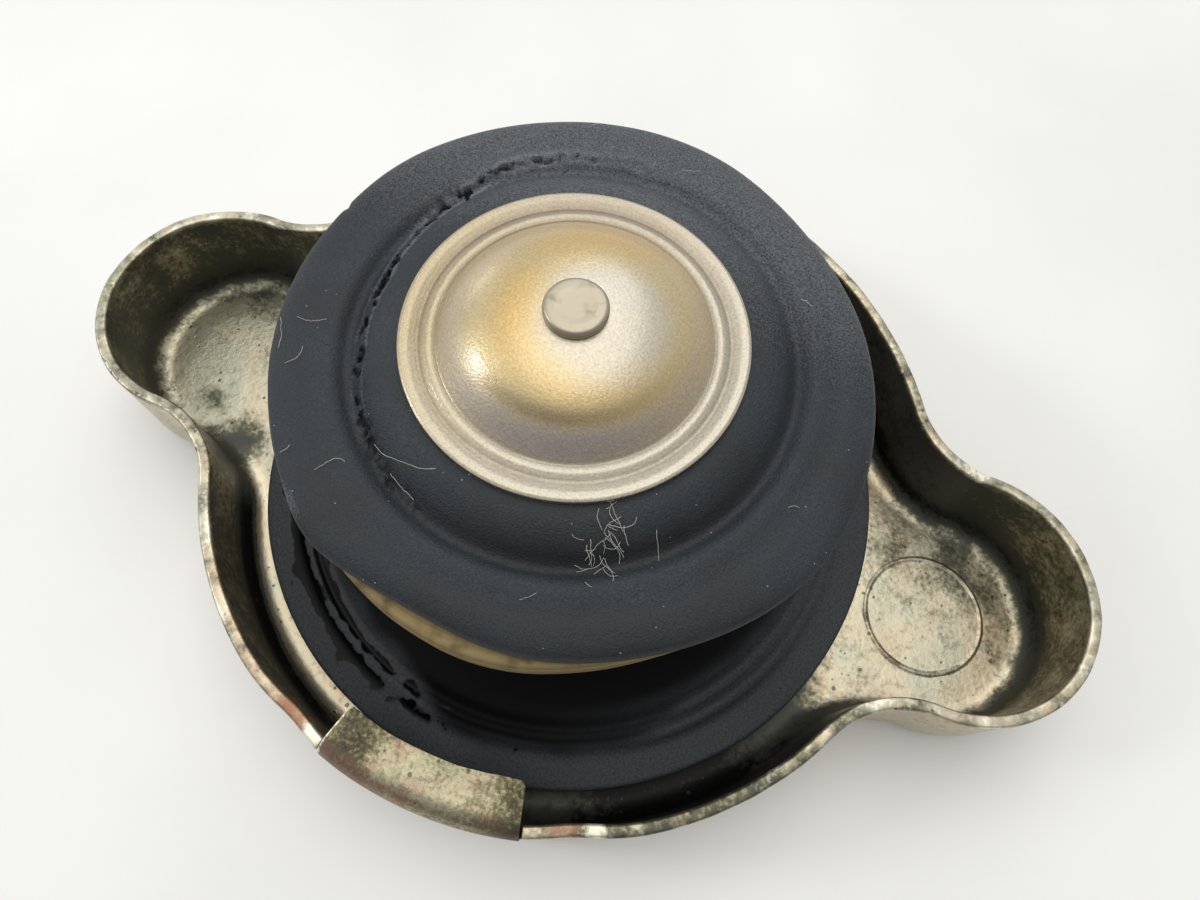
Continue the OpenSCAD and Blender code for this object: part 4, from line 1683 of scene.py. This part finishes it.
@dataclass
class Lint:
    """Loose fibres that cling to the pressure valve's rubber."""

    cotton: bpy.types.Material
    seal: PressureSeal
    fibre_r: float = 0.013
    sides: int = 5
    steps: int = 18
    curl_deg: float = 6.0
    jitter_deg: float = 12.0
    lift: float = 0.05
    arch: float = 0.22
    seed: int = 11

    # Place, direction and length of each single fibre on the rubber
    strands: tuple[tuple[float, float, float, float], ...] = (
        (-18.6, -5.0, -50.0, 2.6),
        (-17.4, -4.7, -20.0, 2.2),
        (-16.0, -6.5, -45.0, 1.9),
        (-11.2, -13.6, 45.0, 2.1),
        (-13.9, -13.4, 20.0, 1.0),
        (-8.7, -10.8, -40.0, 4.9),
        (-7.0, -12.1, -30.0, 2.4),
        (-6.0, 17.4, 60.0, 1.2),
        (1.5, 16.3, -10.0, 1.6),
        (9.0, -9.6, -75.0, 1.7),
        (12.4, 9.2, -40.0, 1.0),
        (3.2, -16.2, 10.0, 1.1),
        (15.8, -5.2, 50.0, 0.8),
    )
    tuft: tuple[float, float] = (6.3, -11.4)
    tuft_count: int = 28
    tuft_width: float = 0.45
    tuft_length: float = 1.45
    tuft_heading: tuple[float, float] = (-80.0, 45.0)
    tuft_fibres: tuple[float, float] = (0.5, 2.2)

    def strand(self, draw: random.Random, x: float, y: float, heading: float, length: float) -> np.ndarray:
        """Lays one curly fibre on the rubber.

        Args:
            draw: The source of its curls.
            x: Start of the fibre.
            y: Start of the fibre.
            heading: Direction in which it starts, in degrees.
            length: Its length.

        Returns:
            Points along the fibre.
        """
        curl = draw.uniform(-self.curl_deg, self.curl_deg)
        points = []
        for index in range(self.steps):
            height = float(smooth_curve(self.seal.face, np.array([math.hypot(x, y)]))[0])
            arch = self.arch * math.sin(math.pi * index / (self.steps - 1)) * draw.uniform(0.5, 1.0)
            points.append((x, y, height + self.lift + arch))
            heading += curl + draw.uniform(-self.jitter_deg, self.jitter_deg)
            x += length / self.steps * math.cos(math.radians(heading))
            y += length / self.steps * math.sin(math.radians(heading))
        return np.array(points)

    def build(self) -> None:
        """Builds all fibres as one mesh of thin tubes."""
        draw = random.Random(self.seed)
        lines = [self.strand(draw, *strand) for strand in self.strands]
        for _ in range(self.tuft_count):
            x = self.tuft[0] + draw.gauss(0, self.tuft_width)
            y = self.tuft[1] + draw.gauss(0, self.tuft_length)
            heading, length = draw.gauss(*self.tuft_heading), draw.uniform(*self.tuft_fibres)
            lines.append(self.strand(draw, x, y, heading, length))
        points: list[np.ndarray] = []
        faces: list[list[int]] = []
        around = np.linspace(0, FULL_TURN, self.sides, endpoint=False)[None, :, None]
        for line in lines:
            along = np.gradient(line, axis=0)
            along /= np.linalg.norm(along, axis=1)[:, None]
            side = np.cross(along, [0, 0, 1])
            side /= np.linalg.norm(side, axis=1)[:, None]
            up = np.cross(side, along)
            offsets = np.cos(around) * side[:, None] + np.sin(around) * up[:, None]
            faces += tube_faces(self.steps, self.sides, len(points))
            points.extend((line[:, None] + self.fibre_r * offsets).reshape(-1, 3))
        piece = solid("lint", np.array(points), faces)
        seat(piece, Body.PRESSURE, self.cotton)


# Stage


@dataclass(frozen=True)
class Lamp:
    """A soft light that faces the cap, with its place and size in millimetres and its power in watts."""

    name: str
    place: tuple[float, float, float]
    size: tuple[float, float]
    power: float
    colour: str

    def build(self) -> None:
        """Adds the light to the scene."""
        lamp = bpy.data.lights.new(self.name, "AREA")
        lamp.shape, lamp.energy = "ELLIPSE", self.power
        lamp.size, lamp.size_y = (length * MM for length in self.size)
        lamp.color = linear(self.colour)[:3]
        holder = link(self.name, lamp)
        holder.location = Vector(self.place) * MM
        holder.rotation_euler = (-holder.location).to_track_quat("-Z", "Y").to_euler()


@dataclass
class Studio:
    """The floor, the lights and the camera."""

    board: bpy.types.Material
    floor_half: float = 900.0
    eye: tuple[float, float, float] = (9.643, -24.770, 71.745)
    azimuth: float = 16.56
    elevation: float = 67.2
    roll: float = 5.37
    lens: float = 24.96
    sensor: float = 36.0
    clip: tuple[float, float] = (2.0, 20000.0)

    lamps: tuple[Lamp, ...] = (
        Lamp("ceiling_light", (-40, 90, 520), (480, 480), 0.86, "#fffaf2"),
        Lamp("window_light", (-355, -95, 267), (90, 90), 0.37, "#f4f7ff"),
        Lamp("low_window", (-380, 220, 118), (150, 40), 0.06, "#f4f7ff"),
        Lamp("back_light", (-60, 430, 470), (300, 300), 0.32, "#f7f9ff"),
    )

    # The room's colours from its dark side at the front to the bright side above and behind
    bright_side: tuple[float, float, float] = (-0.3, 0.62, 0.72)
    room: tuple[tuple[float, str], ...] = (
        (0.2, "#727376"),
        (0.37, "#96979a"),
        (0.55, "#c4c6c8"),
        (0.72, "#dcdee0"),
        (0.92, "#e6e9ec"),
    )

    def build_floor(self) -> None:
        """Builds the pale floor that the cap lies on."""
        half = self.floor_half * MM
        corners = [(x * half, y * half, 0) for x, y in ((-1, -1), (1, -1), (1, 1), (-1, 1))]
        mesh = bpy.data.meshes.new("floor")
        mesh.from_pydata(corners, [], [(0, 1, 2, 3)])
        floor = link("floor", mesh)
        mesh.materials.append(self.board)

    def build_world(self) -> None:
        """Lights the room softly: bright above and behind, darker at the front."""
        world = bpy.data.worlds.new("soft_room")
        bpy.context.scene.world = world
        world.use_nodes = True
        world.node_tree.nodes.clear()
        node = partial(add, world.node_tree)
        facing = node("TexCoord", out="Generated")
        lean = node("VectorMath", {0: facing, 1: self.bright_side}, operation="DOT_PRODUCT", out="Value")
        share = node("MapRange", {0: lean, 1: -1.0, 2: 1.0})
        room = node("ValToRGB", {0: share}, ramp=self.room)
        light = node("Background", {"Color": room, "Strength": 1.0})
        node("OutputWorld", {"Surface": light})

    def build_camera(self) -> None:
        """Stands the camera where the photographer held it."""
        azimuth, elevation, roll = (math.radians(a) for a in (self.azimuth, self.elevation, self.roll))
        level = Vector((math.cos(azimuth), math.sin(azimuth), 0))
        reach = math.cos(elevation)
        back = Vector((reach * math.sin(azimuth), -reach * math.cos(azimuth), math.sin(elevation)))
        upright = back.cross(level)
        right = math.cos(roll) * level + math.sin(roll) * upright
        up = -math.sin(roll) * level + math.cos(roll) * upright
        lens = bpy.data.cameras.new("camera")
        lens.sensor_fit, lens.sensor_width, lens.lens = "HORIZONTAL", self.sensor, self.lens
        lens.clip_start, lens.clip_end = (distance * MM for distance in self.clip)
        holder = link("camera", lens)
        axes = Matrix((right, up, back)).transposed()
        holder.matrix_world = Matrix.Translation(Vector(self.eye) * MM) @ axes.to_4x4()
        bpy.context.scene.camera = holder

    def build(self) -> None:
        """Builds the floor, the lights and the camera."""
        bpy.context.scene.view_settings.view_transform = "Standard"
        self.build_floor()
        self.build_world()
        for lamp in self.lamps:
            lamp.build()
        self.build_camera()


def dress_inner_works(nodes: Mapping[str, bpy.types.Object], finishes: Mapping[str, Finish]) -> None:
    """Gives the solids that stay as they are their finishes.

    Args:
        nodes: The solids by name.
        finishes: The finish of each solid by name.
    """
    made = {finish.name: finish.material() for finish in finishes.values()}
    for name, finish in finishes.items():
        mesh = nodes[name].data
        mesh.materials.clear()
        mesh.materials.append(made[finish.name])
        LOG.info("%s is dressed in %s", name, finish.name)


def main() -> None:
    """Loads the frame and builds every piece."""
    logging.basicConfig(level=logging.INFO, format="%(name)s: %(message)s")
    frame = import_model()

    plating = TarnishedPlating("tarnished_nickel_plate").material()
    lug_plating = TarnishedPlating(
        "corroded_nickel_plate",
        clean="#aea88c",
        warm="#a38d76",
        green="#929175",
        olive="#645e45",
        dark="#38332a",
        copper="#987866",
        blotch_mm=2.2,
        speckle_mm=0.28,
        tint_mm=1.8,
        mottle_share=0.9,
        fine_share=1.0,
    ).material()
    Shell(plating, lug_plating).build()
    UpperSeal(WetSealRubber("oily_black_rubber").material()).build()
    pressure_seal = PressureSeal(CharcoalRubber("matt_nitrile_rubber").material())
    pressure_seal.build()
    stem_steel = WornMetal(
        "satin_plated_steel", "#a89f8d", "#978d76", roughness=0.4, stain_share=0.35, cloud_mm=0.9
    ).material()
    VacuumHat(HeatTintedSteel("heat_tinted_steel").material(), stem_steel).build()
    Lint(CottonLint("cotton_lint").material(), pressure_seal).build()

    Coil(
        "pressure_coil",
        WornMetal("oiled_spring_wire", "#6a6861", "#3b3935", roughness=0.35).material(),
        node="pressure_spring",
        slot="spring_steel",
        body=Body.INSERT,
        joint="pressure_lift",
        coil_r=10.7,
        wire_d=1.8,
        turns=6,
        fixed_z=4.65,
        travel=5.0,
    ).build()
    Coil(
        "vacuum_coil",
        WornMetal("bright_drawn_wire", "#b4b3ac", "#807d74", roughness=0.3, stain_share=0.3).material(),
        node="vacuum_spring",
        slot="light_spring_steel",
        body=Body.PRESSURE,
        joint="vacuum_open",
        coil_r=3.0,
        wire_d=0.5,
        turns=7,
        fixed_z=24.15,
        travel=2.5,
    ).build()

    brass = WornMetal("dull_brown_brass", "#8f7f5b", "#7a6a4b", roughness=0.56, cloud_mm=1.2)
    PlateEdge(brass.material()).build()
    steel = WornMetal("dull_plated_steel", "#a09a8a", "#5d574a", roughness=0.42)
    dress_inner_works(
        frame["nodes"],
        {
            "centre_rivet": steel,
            "rivet_washer": steel,
            "spring_retainer": steel,
            "friction_spring": WornMetal("blued_spring_sheet", "#6f6c63", "#3d3a33", roughness=0.38),
            "bell_housing": WornMetal("dull_brass", "#a98d4d", "#6d5a30", roughness=0.36),
            "valve_plate": brass,
            "guide_sleeve": brass,
            "gasket_eyelet": brass,
        },
    )
    Studio(PaintedBoard("white_painted_board").material()).build()


if __name__ == "__main__":
    main()
